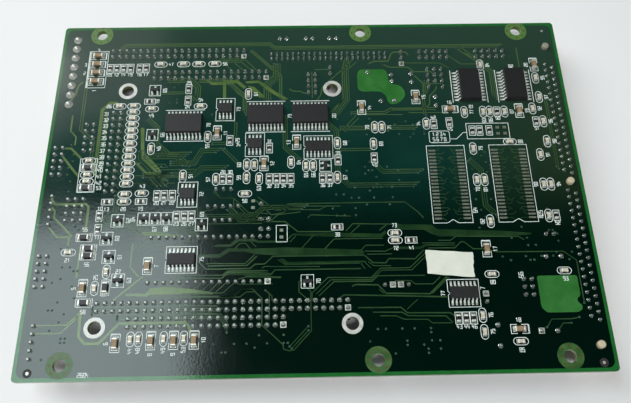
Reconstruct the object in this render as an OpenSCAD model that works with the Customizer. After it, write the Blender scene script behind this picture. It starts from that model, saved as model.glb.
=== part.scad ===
// Single-board computer lying with its components underneath and its soldered side up.
// Millimetres. The origin is the centre of the board on the surface that it lies on;
// +X is to the right, +Y to the back and +Z up.

/* [Board] */
// Width of the board
board_w = 184; // [183:0.5:196]
// Length of the board from front to back
board_l = 130; // [129.5:0.5:140]
// Thickness of the board
board_t = 1.6; // [0.8:0.1:2.4]
// Radius of the board's corners
corner_r = 1.3; // [0.5:0.1:3]
// Height of the tallest connectors, on which the board lies
stand_h = 11; // [10:0.5:16]

/* [Mounting holes] */
// Diameter of the six edge mounting holes
edge_hole_d = 4; // [3:0.1:5]
// Distance from the left edge to the left mounting holes
hole_left = 13.9; // [12:0.1:15]
// Distance from the right edge to the right mounting holes
hole_right = 14.4; // [13:0.1:16]
// Distance from the left mounting holes to the middle pair
hole_mid = 96.8; // [94:0.1:99]
// Distance from the front edge to the front mounting holes
hole_front = 4.8; // [4.5:0.1:6]
// Distance from the back edge to the back mounting holes
hole_back = 3.6; // [3.3:0.1:4.5]

/* [Expansion bus] */
// Distance from the left edge to the front left stand-off hole
bus_left = 23.25; // [22.5:0.05:24]
// Distance from the front edge to the front stand-off holes
bus_front = 16.05; // [15.5:0.05:17]
// Diameter of the four stand-off holes
bus_hole_d = 4.2; // [3.2:0.1:4.6]
// Outside diameter of the tinned rings round the stand-off holes
bus_ring_d = 6.6; // [5.8:0.1:7]
// Distance between the two front stand-off holes
bus_front_span = 80.01; // [79:0.01:81]
// Distance between the two back stand-off holes
bus_back_span = 73.66; // [73:0.01:75]
// Distance from the front to the back stand-off holes
bus_depth = 85.73; // [85:0.01:87]
// Step to the right from the front left to the back left stand-off hole
bus_back_step = 2.54; // [2:0.01:4]
// Width of each bus socket's housing
bus_socket_w = 5; // [4.4:0.1:5]

/* [Pins] */
// Pitch of the pins of headers and sockets
pitch = 2.54; // [2.54:0.01:2.55]
// Pitch of the fine drive header
fine_pitch = 2; // [2:0.01:2.05]
// Width of a square header pin
pin_w = 0.64; // [0.5:0.01:0.8]
// Width of a fine header pin
fine_pin_w = 0.5; // [0.4:0.01:0.6]
// Height of a pin's end above the board, in its solder
tail_h = 1.1; // [0.6:0.1:1.6]
// Free length of a header's pins below its insulator
pin_reach = 6; // [4:0.1:7]
// Thickness of a pin header's insulator
insulator_t = 2.5; // [2:0.1:3]
// Play round a pin in its insulator
pin_play = 0.02; // [0.01:0.01:0.06]

/* [Shrouded headers] */
// Height of a shrouded header's walls below the board
shroud_h = 9.1; // [8.6:0.1:9.6]
// Width of a shrouded header
shroud_w = 8.8; // [8:0.1:8.8]
// Thickness of a shroud's walls
shroud_wall = 1.15; // [0.8:0.05:1.6]
// Length by which a shroud is longer than its rows of pins
shroud_extra = 7.6; // [6:0.1:7.8]
// Width of the key slot in a shroud
key_w = 4.5; // [3:0.1:6]

/* [Power connector] */
// Number of power pins
power_pins_n = 8; // [4:1:8]
// Pitch of the power pins
power_pitch = 3.96; // [3.9:0.01:3.96]
// Width of a power pin
power_pin_w = 1.14; // [0.8:0.01:1.3]
// Diameter of the solder round a power pin
power_joint_d = 3; // [2.4:0.1:3.4]

/* [Memory socket] */
// Width of the memory socket
socket_w = 7.6; // [7:0.1:8]
// Length of the memory socket
socket_l = 119; // [116:0.5:120]
// Distance from the right edge to the memory socket's middle
socket_edge = 4.5; // [4.3:0.05:5]
// Distance from each end of the memory socket to its end peg
peg_inset = 4.1; // [3:0.1:5]
// Diameter of the locating pegs
peg_d = 2.5; // [2:0.1:2.8]
// Play round a peg in its hole
peg_play = 0.15; // [0.05:0.05:0.3]
// Height of the pegs above the board
peg_rise = 1.4; // [0.8:0.1:2]
// Width of the slot for the memory module
slot_w = 1.9; // [1.7:0.1:2.4]
// Depth of the slot for the memory module
slot_depth = 6; // [4:0.5:7]
// Height of the memory socket between its two end towers
socket_h = 8.4; // [7.5:0.1:9.5]
// Length of each end tower
tower_l = 5.5; // [4.6:0.1:5.6]

/* [Surface-mounted chips] */
// Height of the gull-wing chips above the board
chip_h = 2.45; // [2:0.05:2.65]
// Gap between a chip's body and the board
chip_gap = 0.15; // [0.05:0.05:0.3]
// Pitch of the leads
lead_pitch = 1.27; // [1.25:0.01:1.27]
// Width of a lead
lead_w = 0.42; // [0.3:0.01:0.5]
// Thickness of a lead
lead_t = 0.25; // [0.15:0.01:0.35]
// Body width of the wide 20-lead chips
wide_body_w = 7.5; // [7.2:0.1:7.8]
// Body width of the narrow 8-lead and 14-lead chips
narrow_body_w = 3.9; // [3.7:0.1:4.2]
// Height of the narrow chips above the board
narrow_h = 1.7; // [1.4:0.05:1.9]
// Reach of the leads beyond the body on each side
lead_reach = 1.4; // [1.1:0.1:1.6]

/* [Chip components] */
// Length of the large capacitors and ferrite beads
large_l = 3.2; // [3:0.1:3.6]
// Width of the large capacitors and ferrite beads
large_w = 1.6; // [1.2:0.1:1.8]
// Height of the large capacitors and ferrite beads
large_h = 1.2; // [0.8:0.1:1.5]
// Length of the small capacitors and resistors
small_l = 2; // [1.6:0.1:2.3]
// Width of the small capacitors and resistors
small_w = 1.2; // [0.8:0.1:1.4]
// Height of the small capacitors
small_h = 0.8; // [0.5:0.05:1]
// Height of the resistors
resistor_h = 0.55; // [0.4:0.05:0.8]
// Length of the metal cap at each end of a chip component
cap_end = 0.45; // [0.3:0.05:0.6]
// Thickness by which a metal cap stands proud of the body
cap_wrap = 0.05; // [0.03:0.01:0.1]

/* [Chips underneath] */
// Side of the processor package
cpu_side = 35; // [27:1:35]
// Side of the chip set package
chipset_side = 27; // [23:1:31]
// Height of the flash memory's socket
flash_socket_h = 4.6; // [4:0.1:5.2]

/* [Lands and label] */
// Thickness of the tinned lands
land_t = 0.08; // [0.05:0.01:0.15]
// Width of the paper label
label_w = 15.2; // [12:0.1:16]
// Length of the paper label
label_l = 8.2; // [6:0.1:9]
// Thickness of the paper label
label_t = 0.12; // [0.08:0.01:0.2]

/* [Hidden] */
$fn = 40;

under = stand_h;              // the board's underside
top = stand_h + board_t;      // the board's soldered side
left = -board_w / 2;
right = board_w / 2;
front = -board_l / 2;
back = board_l / 2;
eps = 0.01;

// Places that aren't tied to an edge are laid out on a board of this size, and spread with it.
spread_x = board_w / 184;
spread_y = board_l / 130;
function across(x) = x * spread_x;
function along(y) = y * spread_y;

// Mounting holes along the edges, and the stand-off holes of the expansion bus.
edge_holes = [for (x = [left + hole_left, left + hole_left + hole_mid, right - hole_right],
                   y = [front + hole_front, back - hole_back]) [x, y]];
bus_x = left + across(bus_left);
bus_y = front + along(bus_front);
bus_holes = [[bus_x, bus_y], [bus_x + bus_front_span, bus_y],
             [bus_x + bus_back_step, bus_y + bus_depth],
             [bus_x + bus_back_step + bus_back_span, bus_y + bus_depth]];

// A grid of pins is [x and y of its first pin, columns, rows], here from its middle.
function pins_at(x, y, columns, rows, step = pitch) =
    [x - (columns - 1) * step / 2, y - (rows - 1) * step / 2, columns, rows];

// The bus: 32 columns in the inner two rows and 20 in the outer two, on one grid.
bus_64 = [bus_x + 0.05, bus_y + 2 * pitch, 32, 2];
bus_40 = [bus_x + 0.05 + 4 * pitch, bus_y, 20, 2];

// Shrouded headers and the fine drive header.
power_x = left + 5.2;
power_y = back - 5.7 - (power_pins_n - 1) * power_pitch;
power_body_w = 6.4;
fine_columns = 22;
fine_drive_x = 6.35;
fine_drive = pins_at(fine_drive_x, along(50.9), fine_columns, 2, fine_pitch);

// The hard drive header stands between the power header and the fine drive header.
hard_drive_l = 20 * pitch + shroud_extra;
hard_drive_from = power_x + power_body_w / 2;
hard_drive_room = fine_drive_x - fine_columns * fine_pitch / 2 - hard_drive_from - hard_drive_l;
hard_drive_y = along(52.62);
hard_drive = pins_at(hard_drive_from + 0.57 * hard_drive_room + hard_drive_l / 2, hard_drive_y, 20, 2);
shroud_rows = 9.45;                       // between the middles of the two drive headers
floppy = pins_at(across(-36.83), hard_drive_y - shroud_rows, 17, 2);
port = pins_at(across(-69.03), along(12.44), 2, 13);

// Plain pin headers: along the left edge, along the back edge, and in the middle.
jumper_x = across(45.04);
jumper_y = along(40.81);
header_sites = [
    pins_at(left + 4.27, along(8.83), 2, 5), pins_at(left + 4.4, along(-9.47), 1, 5),
    pins_at(left + 4.27, along(-30.52), 2, 5), pins_at(left + 4.5, along(-53.12), 1, 5),
    pins_at(across(-78.03), along(17.88), 2, 5), pins_at(across(-79.66), along(-9.39), 3, 4),
    pins_at(across(33.3), along(49.74), 1, 3), pins_at(across(45.28), along(51.12), 5, 2),
    pins_at(across(66.18), along(51.12), 5, 2), pins_at(jumper_x - pitch, jumper_y, 1, 4),
    pins_at(jumper_x, jumper_y + pitch / 2, 1, 3), pins_at(jumper_x + pitch, jumper_y, 1, 4),
    pins_at(across(0.07), along(39.11), 2, 4), pins_at(across(6.8), along(44.57), 1, 2),
    pins_at(across(-30.42), along(-8.8), 5, 1), pins_at(across(-30.46), along(-2.5), 3, 1),
    pins_at(across(-30.46), along(-13.8), 3, 1), pins_at(across(25.91), along(-36.7), 4, 1),
    pins_at(across(67.97), along(-38.16), 2, 3), pins_at(across(54), along(-41.43), 1, 2),
    pins_at(across(77.57), along(-20.4), 2, 1)];
flash_row_span = 15.24;
flash_mid = [across(-34.35), along(-27.28)];
flash = [flash_mid[0] - 7.5 * pitch, flash_mid[1] - flash_row_span / 2, 16, 2];

// The memory socket's 72 contacts: two staggered rows with a gap in the middle.
contact_pitch = 1.27;
contact_gap = 5.08;
socket_x = right - socket_edge;
socket_y = -1.5;
contact_y0 = socket_y + (71 * contact_pitch + contact_gap) / 2;
contacts = [for (i = [0:71]) [socket_x + (i % 2 == 0 ? -1 : 1) * pitch / 2,
                              contact_y0 - i * contact_pitch - (i > 35 ? contact_gap : 0)]];
socket_pegs = [for (s = [-1, 0, 1]) [socket_x, socket_y + s * (socket_l / 2 - peg_inset)]];

// Leaded parts: [x, y, distance between the two leads, turn].
crystal_l = 10.5;
crystal_sites = [[socket_x - socket_w / 2 - 0.9 - crystal_l / 2, along(-28.1), 4.9, 0],
                 [across(27.25), along(31.4), 4.9, 0]];
can_d = 8;
can_sites = [[jumper_x - 8.64, along(41.05), 3.5, 90],
             [jumper_x - 0.54, jumper_y - 2 * pitch - 0.68 - can_d / 2, 3.5, 90],
             [across(72.4), along(-52.3), 5, 0]];
buzzer_sites = [[across(56.5), along(-53.45), 6.5, 90]];
led_sites = [for (x = [-10.2, -0.5, 8.3]) [x, back - 6, pitch, 0]];
lone_tails = [for (p = [[20.6, 43.7], [-17.7, -8], [-17.7, -13.5], [-15.15, -13.5], [-17.7, -17], [-15.15, -17],
    [29.2, 42.4], [29.3, 39.8]]) [across(p[0]), along(p[1])]];

// Gull-wing chips: [x, y, turn about the vertical].
wide_sites = [[-45.1, 22.3, 0], [-16.45, 25.5, 0], [-0.7, 25.5, 0], [57.1, 37, 90], [73.6, 37, 90]];
logic_sites = [[1.9, 13, 0], [-43.2, -27.3, 0], [46.95, -39.9, 0]];
amplifier_sites = [[-30.85, 28.6, 0], [-20.15, 14.3, 0], [-42.5, -4.3, 0]];
transistor_sites = [[-56.5, 36.9, 0], [-56.1, 18.7, 0], [-65.1, -13.4, 0], [-68.1, -19.6, 0], [-66.7, -25.9, 0],
    [-56.5, -12.9, 0], [-52.7, -12.9, 0], [-49, -12.9, 0], [-37.3, -15.2, 0], [-2.6, -35.2, 0],
    [4.2, 5.8, -90], [-63, -33.9, 180]];

// Chip components: [x, y, turn], where 0 lies left to right and 90 lies front to back.
large_sites = [for (p = [[-33.4, 19.1], [-16.9, 6.9], [-5.6, 15], [17.7, 28.6], [37.4, 32.7], [74, 26.5],
                         [82.1, 46], [56, -25.3], [-53.9, -29.3], [-73.9, -36.3], [-61.9, -53.9],
                         [-51, -53.3], [-44, -53.3], [-37.7, -53.3]]) [p[0], p[1], 90],
               for (p = [[-78.4, 52.1], [-78.4, 48.4], [-78.4, 44.7], [-78.4, 41], [49.3, 27.5],
                         [63.1, -51.6]]) [p[0], p[1], 0]];
ferrite_sites = [for (p = [[-75.4, -19.2], [-73.5, -23], [-73.5, -25.5], [-72.9, -41],
                           [-77, 6.3], [-77, -1.4]]) [p[0], p[1], 0], [-66.7, -36.2, 90]];
column_pitch = 2.54;
small_sites = [for (i = [0:12]) [-63.5, 15.26 + (6 - i) * column_pitch, 0],
    for (p = [[-63.6, -3.9], [-63.6, -6.6], [-55.2, 48.1], [-46.9, 48.1], [-41.3, 48.1], [-35.4, 48.1],
              [-68.6, 30.5], [-57, 29.2], [-39.8, 30.1], [-57.9, -3.6], [69, 14.1], [80.2, -33],
              [56.7, -33.8], [63, -55.4], [26.4, -19.2], [26.4, -21.8], [-79.9, -24.2],
              [-23.2, -4.3], [-77, 8.9], [-77, 3.6], [-77, 1.1]]) [p[0], p[1], 0],
    for (p = [[-22.8, 35], [-36.7, 17.6], [-7.6, 7.3], [-22.8, 6.6], [-20.2, 6.5], [-2.5, 5.9], [0, 5.9],
              [-33.2, 1.2], [-44.5, 2.6], [-22.8, 1.7], [-18.5, 1.2], [8.6, 14.5], [8.2, 1.3],
              [22, 20.6], [24.5, 20.6], [21.2, 14], [40.3, 21.8], [54.3, 26.3], [61, 26.3], [63.4, 26.3],
              [68.7, 26.3], [78.9, 27.4], [62.3, 46.2], [81.9, 40.3], [82, 32.1], [82, 22.1],
              [82.1, 14.1], [78.9, 8.9], [55.8, 11.6], [55.7, -0.4], [58.3, -0.4], [78.3, -2.4],
              [80.8, -2.4], [78.2, -13.9], [58.5, -15.6], [52.1, -47.1], [52.1, -52.3],
              [-56.1, 13.3], [-57.3, -52.7], [-54.8, -52.7], [-47.1, -52.7], [-40.9, -52.7],
              [-66.9, -30.9], [-70.1, -36.3]]) [p[0], p[1], 90]];
resistor_sites = [for (p = [[-69.2, -6.6], [-57.9, -6.6], [31.6, -21.8], [7.5, -16.8],
                            [-58, 32.3]]) [p[0], p[1], 0],
    for (p = [[-30.9, 1.2], [-28.5, 1.2], [-28.9, 16.1], [-15.1, 12.9], [-15.05, 1.1], [-12.6, 1.1],
              [-10.2, 1.1], [-7.7, 1.1], [3.1, 1.1], [5.6, 1.1], [8.6, 7.9], [21.2, 8.5], [43, 21.6],
              [48.5, 22.1], [66, 26.3], [79.4, 22], [80.8, -13.9], [56.3, 18.7], [58.9, 18.7],
              [62.3, 18.7], [44.5, -47.9], [46.9, -47.9], [49.2, -47.9], [-52.8, -4.6], [-50.3, -4.6],
              [-47.6, -4.6], [-45.7, -12.2], [-43.1, -12.2], [-40.7, -12.2], [-71.3, -11.6],
              [-71.2, -16.5], [-44.4, 37.4], [-44.4, 32.5], [-73.6, 46.5], [-71.1, 46.5],
              [-68.6, 46.5], [-66.1, 46.5], [-62.8, 46.5], [-60.4, 46.5]]) [p[0], p[1], 90]];
spare_sites = [[65.3, 18.7], [67.8, 18.7], [-10.9, -18.8], [-20.4, -8.2]];
memory_chip_sites = [[46.1, -1.7], [67.9, -1.7]];

// ---- shared shapes ----

module plate(w, l, r, t) {
    linear_extrude(t) {
        square([w - 2 * r, l], center = true);
        square([w, l - 2 * r], center = true);
        for (x = [-1, 1], y = [-1, 1]) translate([x * (w / 2 - r), y * (l / 2 - r)]) circle(r);
    }
}

module place(site) translate([across(site[0]), along(site[1]), top]) rotate(site[2]) children();

// Places its child at each pin of a grid [x, y, columns, rows].
module grid(g, step = pitch, row_step = 0) {
    rise = row_step > 0 ? row_step : step;
    for (i = [0:g[2] - 1], j = [0:g[3] - 1]) translate([g[0] + i * step, g[1] + j * rise]) children();
}

// Middle of a grid.
function middle(g, step = pitch) = [g[0] + (g[2] - 1) * step / 2, g[1] + (g[3] - 1) * step / 2];

module post(w, h) translate([-w / 2, -w / 2, 0]) cube([w, w, h]);

// Pins of a header below the board.
module pins_under(g, w, reach, step = pitch) {
    translate([0, 0, under - reach]) grid(g, step) post(w, reach);
}

// Ends of a grid's pins above the board.
module tails(g, w = pin_w, step = pitch) {
    translate([0, 0, top]) grid(g, step) post(w, tail_h);
}

// Plain insulator strip of a pin header, with a hole round each pin.
module insulator(g, w, step = pitch) {
    m = middle(g, step);
    translate([0, 0, under - insulator_t]) linear_extrude(insulator_t) difference() {
        translate(m) square([g[2] * step - 0.04, g[3] * step - 0.04], center = true);
        grid(g, step) square(w + 2 * pin_play, center = true);
    }
}

// Shrouded header, open below, with a key slot in one long wall.
module shroud(g, key_side = 1) {
    m = middle(g);
    tall = g[3] > g[2];
    inner_l = max(g[2], g[3]) * pitch + shroud_extra - 2 * shroud_wall;
    inner_w = shroud_w - 2 * shroud_wall;
    difference() {
        translate([m[0], m[1], under - shroud_h]) rotate(tall ? 90 : 0) difference() {
            translate([-inner_l / 2 - shroud_wall, -shroud_w / 2, 0])
                cube([inner_l + 2 * shroud_wall, shroud_w, shroud_h]);
            translate([-inner_l / 2, -inner_w / 2, -eps])
                cube([inner_l, inner_w, shroud_h - insulator_t + eps]);
            translate([-key_w / 2, key_side > 0 ? 0 : -shroud_w, -eps])
                cube([key_w, shroud_w, shroud_h - insulator_t + eps]);
        }
        translate([0, 0, under - insulator_t - 1])
            linear_extrude(insulator_t + 2) grid(g) square(pin_w + 2 * pin_play, center = true);
    }
}

// Moulded chip body: drafted sides from the parting line up and down, with a mark at lead 1.
module chip_body(l, w, h) {
    tall = h - chip_gap;
    draft = tall * 0.09;
    mark_r = 0.45;
    difference() {
        intersection() {
            translate([-l / 2, 0, chip_gap]) rotate([90, 0, 90]) linear_extrude(l)
                draft_section(w, tall, draft);
            translate([0, w / 2, chip_gap]) rotate([90, 0, 0]) linear_extrude(w)
                draft_section(l, tall, draft);
        }
        translate([-l / 2 + 1.2, -w / 2 + 1.1, h - 0.08]) cylinder(r = mark_r, h = 1);
    }
}

// Section of a moulded body: drafted above and below a band as thick as the leads that leave it.
module draft_section(w, h, d) {
    low = (h - lead_t) / 2;
    polygon([[-w / 2 + d, 0], [w / 2 - d, 0], [w / 2, low], [w / 2, h - low],
             [w / 2 - d, h], [-w / 2 + d, h], [-w / 2, h - low], [-w / 2, low]]);
}

// One gull-wing lead: leaves the body at its parting line and bends down to a flat foot.
module lead(half_w, h) {
    exit_z = chip_gap + (h - chip_gap) / 2;
    foot = lead_reach * 0.55;
    knee = half_w + lead_reach - foot;
    shoulder = half_w + (lead_reach - foot) * 0.55;
    translate([lead_w / 2, 0, 0]) rotate([90, 0, -90]) linear_extrude(lead_w) polygon([
        [-half_w, exit_z + lead_t / 2], [-shoulder, exit_z + lead_t / 2], [-knee, lead_t],
        [-half_w - lead_reach, lead_t], [-half_w - lead_reach, 0], [-knee + lead_t * 0.7, 0],
        [-shoulder + lead_t * 0.7, exit_z - lead_t / 2], [-half_w, exit_z - lead_t / 2]]);
}

module lead_rows(n, w, h) {
    for (i = [0:n / 2 - 1], side = [0, 180]) {
        rotate(side) translate([(i - (n / 2 - 1) / 2) * lead_pitch, 0, 0]) lead(w / 2, h);
    }
}

function chip_l(n) = (n / 2 - 1) * lead_pitch + 1.35;

// Ceramic body of a chip component, between its two metal ends.
module chip_core(l, w, h)
    translate([-l / 2 + cap_end, -w / 2 + cap_wrap, cap_wrap])
        cube([l - 2 * cap_end, w - 2 * cap_wrap, h - 2 * cap_wrap]);

module chip_ends(l, w, h) for (x = [-l / 2, l / 2 - cap_end]) translate([x, -w / 2, 0]) cube([cap_end, w, h]);

// ---- the board ----

module circuit_board() color("darkgreen") difference() {
    translate([0, 0, under]) plate(board_w, board_l, corner_r, board_t);
    translate([0, 0, under - 1]) {
        for (p = edge_holes) translate(p) cylinder(d = edge_hole_d, h = board_t + 2);
        for (p = bus_holes) translate(p) cylinder(d = bus_hole_d, h = board_t + 2);
        for (p = socket_pegs) translate(p) cylinder(d = peg_d + 2 * peg_play, h = board_t + 2);
    }
}

module standoff_lands() color("whitesmoke") for (p = bus_holes) translate([p[0], p[1], top]) difference() {
    cylinder(d = bus_ring_d, h = land_t);
    translate([0, 0, -1]) cylinder(d = bus_hole_d, h = 3);
}

// Two unfitted memory chips: 21 lands on each side.
lands_n = 21;
land_l = 2.4;
land_w = 0.62;
land_row_x = 4.85;
module memory_chip_lands() color("silver")
    for (s = memory_chip_sites, side = [-1, 1], i = [0:lands_n - 1]) place([s[0], s[1], 0])
        translate([side * land_row_x - land_l / 2, (i - (lands_n - 1) / 2) * lead_pitch - land_w / 2, 0])
            cube([land_l, land_w, land_t]);

// Solder left on the lands of parts that were never fitted.
module spare_lands() color("silver") for (s = spare_sites, y = [-1.2, 1.2])
    place([s[0], s[1], 0]) translate([-0.6, y - 0.5, 0]) cube([1.2, 1, land_t]);

// ---- connectors ----

module power_grid() for (i = [0:power_pins_n - 1]) translate([power_x, power_y + i * power_pitch]) children();

power_base_t = 3.2;
power_wall_t = 1.2;
module power_header() {
    l = power_pins_n * power_pitch;
    y0 = power_y - power_pitch / 2;
    color("ivory") difference() {
        union() {
            translate([power_x - power_body_w / 2, y0, under - power_base_t])
                cube([power_body_w, l, power_base_t]);
            translate([power_x + power_body_w / 2 - power_wall_t, y0, 0])
                cube([power_wall_t, l, under - power_base_t + eps]);
        }
        translate([0, 0, under - power_base_t - 1]) linear_extrude(power_base_t + 2)
            power_grid() square(power_pin_w + 2 * pin_play, center = true);
    }
}

module power_pins() color("silver") translate([0, 0, 0.3]) power_grid() post(power_pin_w, under - 0.3);

module power_joints() color("silver") translate([0, 0, top]) power_grid() {
    cylinder(d1 = power_joint_d, d2 = power_joint_d * 0.55, h = 0.8);
    translate([0, 0, 0.8]) cylinder(d = power_joint_d * 0.55, h = 0.5);
}

module hard_drive_shroud() color("dimgray") shroud(hard_drive);
module hard_drive_pins() color("gold") pins_under(hard_drive, pin_w, insulator_t + pin_reach);
module floppy_shroud() color("dimgray") shroud(floppy);
module floppy_pins() color("gold") pins_under(floppy, pin_w, insulator_t + pin_reach);
module port_shroud() color("dimgray") shroud(port, -1);
module port_pins() color("gold") pins_under(port, pin_w, insulator_t + pin_reach);

module fine_drive_insulator() color("dimgray") insulator(fine_drive, fine_pin_w, fine_pitch);
module fine_drive_pins() color("gold")
    pins_under(fine_drive, fine_pin_w, insulator_t + pin_reach - 2, fine_pitch);
module header_insulators() color("dimgray") for (g = header_sites) insulator(g, pin_w);
module header_pins() color("gold") for (g = header_sites) pins_under(g, pin_w, insulator_t + pin_reach);

// Bus socket: a tall housing with a square opening below each contact.
bus_opening = 0.9;
bus_opening_depth = 7;
module bus_socket(g) color("dimgray") {
    m = middle(g);
    size = [g[2] * pitch, bus_socket_w];
    translate([m[0] - size[0] / 2, m[1] - size[1] / 2, bus_opening_depth])
        cube([size[0], size[1], under - bus_opening_depth]);
    linear_extrude(bus_opening_depth) difference() {
        translate(m) square(size, center = true);
        grid(g) square(bus_opening, center = true);
    }
}
module bus_socket_64() bus_socket(bus_64);
module bus_socket_40() bus_socket(bus_40);

// Spring leaf against the left wall of each opening.
leaf_t = 0.2;
leaf_w = 0.6;
leaf_z = 1;
module bus_contacts() color("gold") for (g = [bus_64, bus_40]) grid(g)
    translate([-bus_opening / 2, -leaf_w / 2, leaf_z]) cube([leaf_t, leaf_w, bus_opening_depth - leaf_z]);
module bus_pin_tails() color("silver") { tails(bus_64); tails(bus_40); }

module header_pin_tails() color("silver") {
    for (g = header_sites) tails(g);
    tails(hard_drive);
    tails(floppy);
    tails(port);
}
module fine_pin_tails() color("silver") tails(fine_drive, fine_pin_w, fine_pitch);

// ---- memory socket ----

latch_t = 0.5;
latch_w = 4;
latch_h = 7;
mouth = 0.5;                              // chamfer of the slot's mouth
module socket_section() polygon([
    [-socket_w / 2, 0], [-socket_w / 2, -socket_h], [-slot_w / 2 - mouth, -socket_h],
    [-slot_w / 2, mouth - socket_h], [-slot_w / 2, slot_depth - socket_h], [slot_w / 2, slot_depth - socket_h],
    [slot_w / 2, mouth - socket_h], [slot_w / 2 + mouth, -socket_h], [socket_w / 2, -socket_h],
    [socket_w / 2, 0]]);

module memory_socket() color("tan") {
    translate([socket_x, socket_y + socket_l / 2 - tower_l, under]) rotate([90, 0, 0])
        linear_extrude(socket_l - 2 * tower_l) socket_section();
    for (side = [-1, 1]) translate([socket_x, socket_y + side * (socket_l - tower_l) / 2, 0]) difference() {
        translate([-socket_w / 2, -tower_l / 2, 0]) cube([socket_w, tower_l, under]);
        translate([-latch_w / 2 - pin_play, -latch_t / 2 - pin_play, -eps])
            cube([latch_w + 2 * pin_play, latch_t + 2 * pin_play, latch_h + eps]);
    }
    for (p = socket_pegs) translate([p[0], p[1], under]) {
        cylinder(d = peg_d, h = board_t + peg_rise - 0.4);
        translate([0, 0, board_t + peg_rise - 0.4]) cylinder(d1 = peg_d, d2 = peg_d - 0.8, h = 0.4);
    }
}

module memory_latches() color("silver") for (side = [-1, 1])
    translate([socket_x - latch_w / 2, socket_y + side * (socket_l - tower_l) / 2 - latch_t / 2, 0.4])
        cube([latch_w, latch_t, latch_h - 0.4]);

// Contact leaves on both walls of the slot, in two staggered rows.
contact_w = 0.5;
contact_t = 0.25;
module memory_contacts() color("gold") for (i = [0:71])
    translate([i % 2 == 0 ? socket_x - slot_w / 2 : socket_x + slot_w / 2 - contact_t,
               contacts[i][1] - contact_w / 2, under - socket_h + leaf_z])
        cube([contact_t, contact_w, slot_depth - leaf_z]);

module memory_pin_tails() color("silver") for (p = contacts)
    translate([p[0] - contact_w / 2, p[1] - contact_w / 2, top]) cube([contact_w, contact_w, tail_h - 0.2]);

// ---- other parts underneath ----

module flash_grid() grid(flash, pitch, flash_row_span) children();
flash_l = flash[2] * pitch + 0.7;
flash_seat = under - flash_socket_h;      // the socket's face, against which the chip lies
flash_socket_w = flash_row_span + 2.36;
flash_well_w = flash_row_span - 4.44;     // open middle between the two rows of contacts
flash_bar = 3;                            // the socket's end bars
module flash_socket() color("black") translate([flash_mid[0], flash_mid[1], flash_seat])
    linear_extrude(flash_socket_h) difference() {
        square([flash_l, flash_socket_w], center = true);
        square([flash_l - 2 * flash_bar, flash_well_w], center = true);
    }
flash_chip_h = 3.8;
flash_chip_w = flash_row_span - 1.64;
flash_chip_l = flash_l - 0.4;
module flash_chip() color("dimgray")
    translate([flash_mid[0], flash_mid[1], flash_seat - flash_chip_h]) difference() {
        translate([-flash_chip_l / 2, -flash_chip_w / 2, 0]) cube([flash_chip_l, flash_chip_w, flash_chip_h]);
        translate([-flash_chip_l / 2, 0, -1]) cylinder(r = 1.2, h = 2);
    }

// Legs that leave the chip's sides and turn up into the socket's face.
leg_w = 1.2;
leg_t = 0.25;
leg_out = 0.85;
module flash_chip_leads() color("silver") for (i = [0:flash[2] - 1], side = [0, 180])
    translate([flash_mid[0], flash_mid[1], flash_seat]) rotate(side)
        translate([(i - (flash[2] - 1) / 2) * pitch + leg_w / 2, -flash_chip_w / 2, -flash_chip_h / 2])
            rotate([90, 0, -90]) linear_extrude(leg_w) leg_section(flash_chip_h / 2);

module leg_section(rise) polygon([[0, 0], [leg_out, 0], [leg_out, rise], [leg_out - leg_t, rise],
                                  [leg_out - leg_t, leg_t], [0, leg_t]]);
module flash_pin_tails() color("silver") translate([0, 0, top]) flash_grid() post(pin_w, tail_h);

// Area-array package: bed of solder, substrate, and moulded cap with one corner cut off at ball 1.
ball_bed_t = 0.5;
substrate_t = 0.6;
moulding_t = 1.2;
moulding_inset = 2;
module array_package(x, y, side) translate([x, y, under]) mirror([0, 0, 1]) {
    bed = side / 2 - 1.2;
    m = side / 2 - moulding_inset;
    linear_extrude(ball_bed_t) square(2 * bed, center = true);
    translate([0, 0, ball_bed_t]) linear_extrude(substrate_t) square(side, center = true);
    translate([0, 0, ball_bed_t + substrate_t]) linear_extrude(moulding_t)
        polygon([[-m, -m], [m, -m], [m, m], [2 - m, m], [-m, m - 2]]);
}
module processor() color("dimgray") array_package(across(24), along(-4), cpu_side);
module chipset() color("dimgray") array_package(across(62), along(1), chipset_side);

module hang(site) translate([site[0], site[1], under]) mirror([0, 0, 1]) rotate(site[3]) children();

crystal_w = 4.5;
module crystal_outline(w) {
    square([crystal_l - crystal_w, w], center = true);
    for (side = [-1, 1]) translate([side * (crystal_l - crystal_w) / 2, 0]) circle(d = w);
}
module clock_crystals() color("silver") for (s = crystal_sites) hang(s) {
    linear_extrude(0.5) crystal_outline(crystal_w);
    translate([0, 0, 0.5]) linear_extrude(3.1) crystal_outline(crystal_w - 0.8);
}

can_h = 9.5;
module electrolytic_cans() color("midnightblue") for (s = can_sites)
    translate([s[0], s[1], under - can_h]) rotate_extrude() polygon([
        [0, 0], [can_d / 2 - 0.5, 0], [can_d / 2, 0.5], [can_d / 2, can_h - 2], [can_d / 2 - 0.4, can_h - 1.6],
        [can_d / 2, can_h - 1.2], [can_d / 2, can_h], [0, can_h]]);

module buzzer() color("black") for (s = buzzer_sites) hang(s) rotate_extrude() polygon([
    [0, 0], [6, 0], [6, 8.6], [5.6, 9], [1, 9], [1, 8], [0, 8]]);

module edge_leds() color("palegreen") for (s = led_sites) hang(s) rotate_extrude() polygon([
    [0, 0], [1.9, 0], [1.9, 1], [1.5, 1], [1.5, 3.6], [1.2, 4.5], [0.7, 5], [0, 5.2]]);

module leaded_part_tails() color("silver") translate([0, 0, top]) {
    for (s = concat(crystal_sites, can_sites, buzzer_sites, led_sites), side = [-1, 1])
        translate([s[0], s[1]]) rotate(s[3]) translate([side * s[2] / 2, 0]) post(fine_pin_w, tail_h);
    for (p = lone_tails) translate(p) post(fine_pin_w, tail_h);
}

// ---- parts on the soldered side ----

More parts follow.
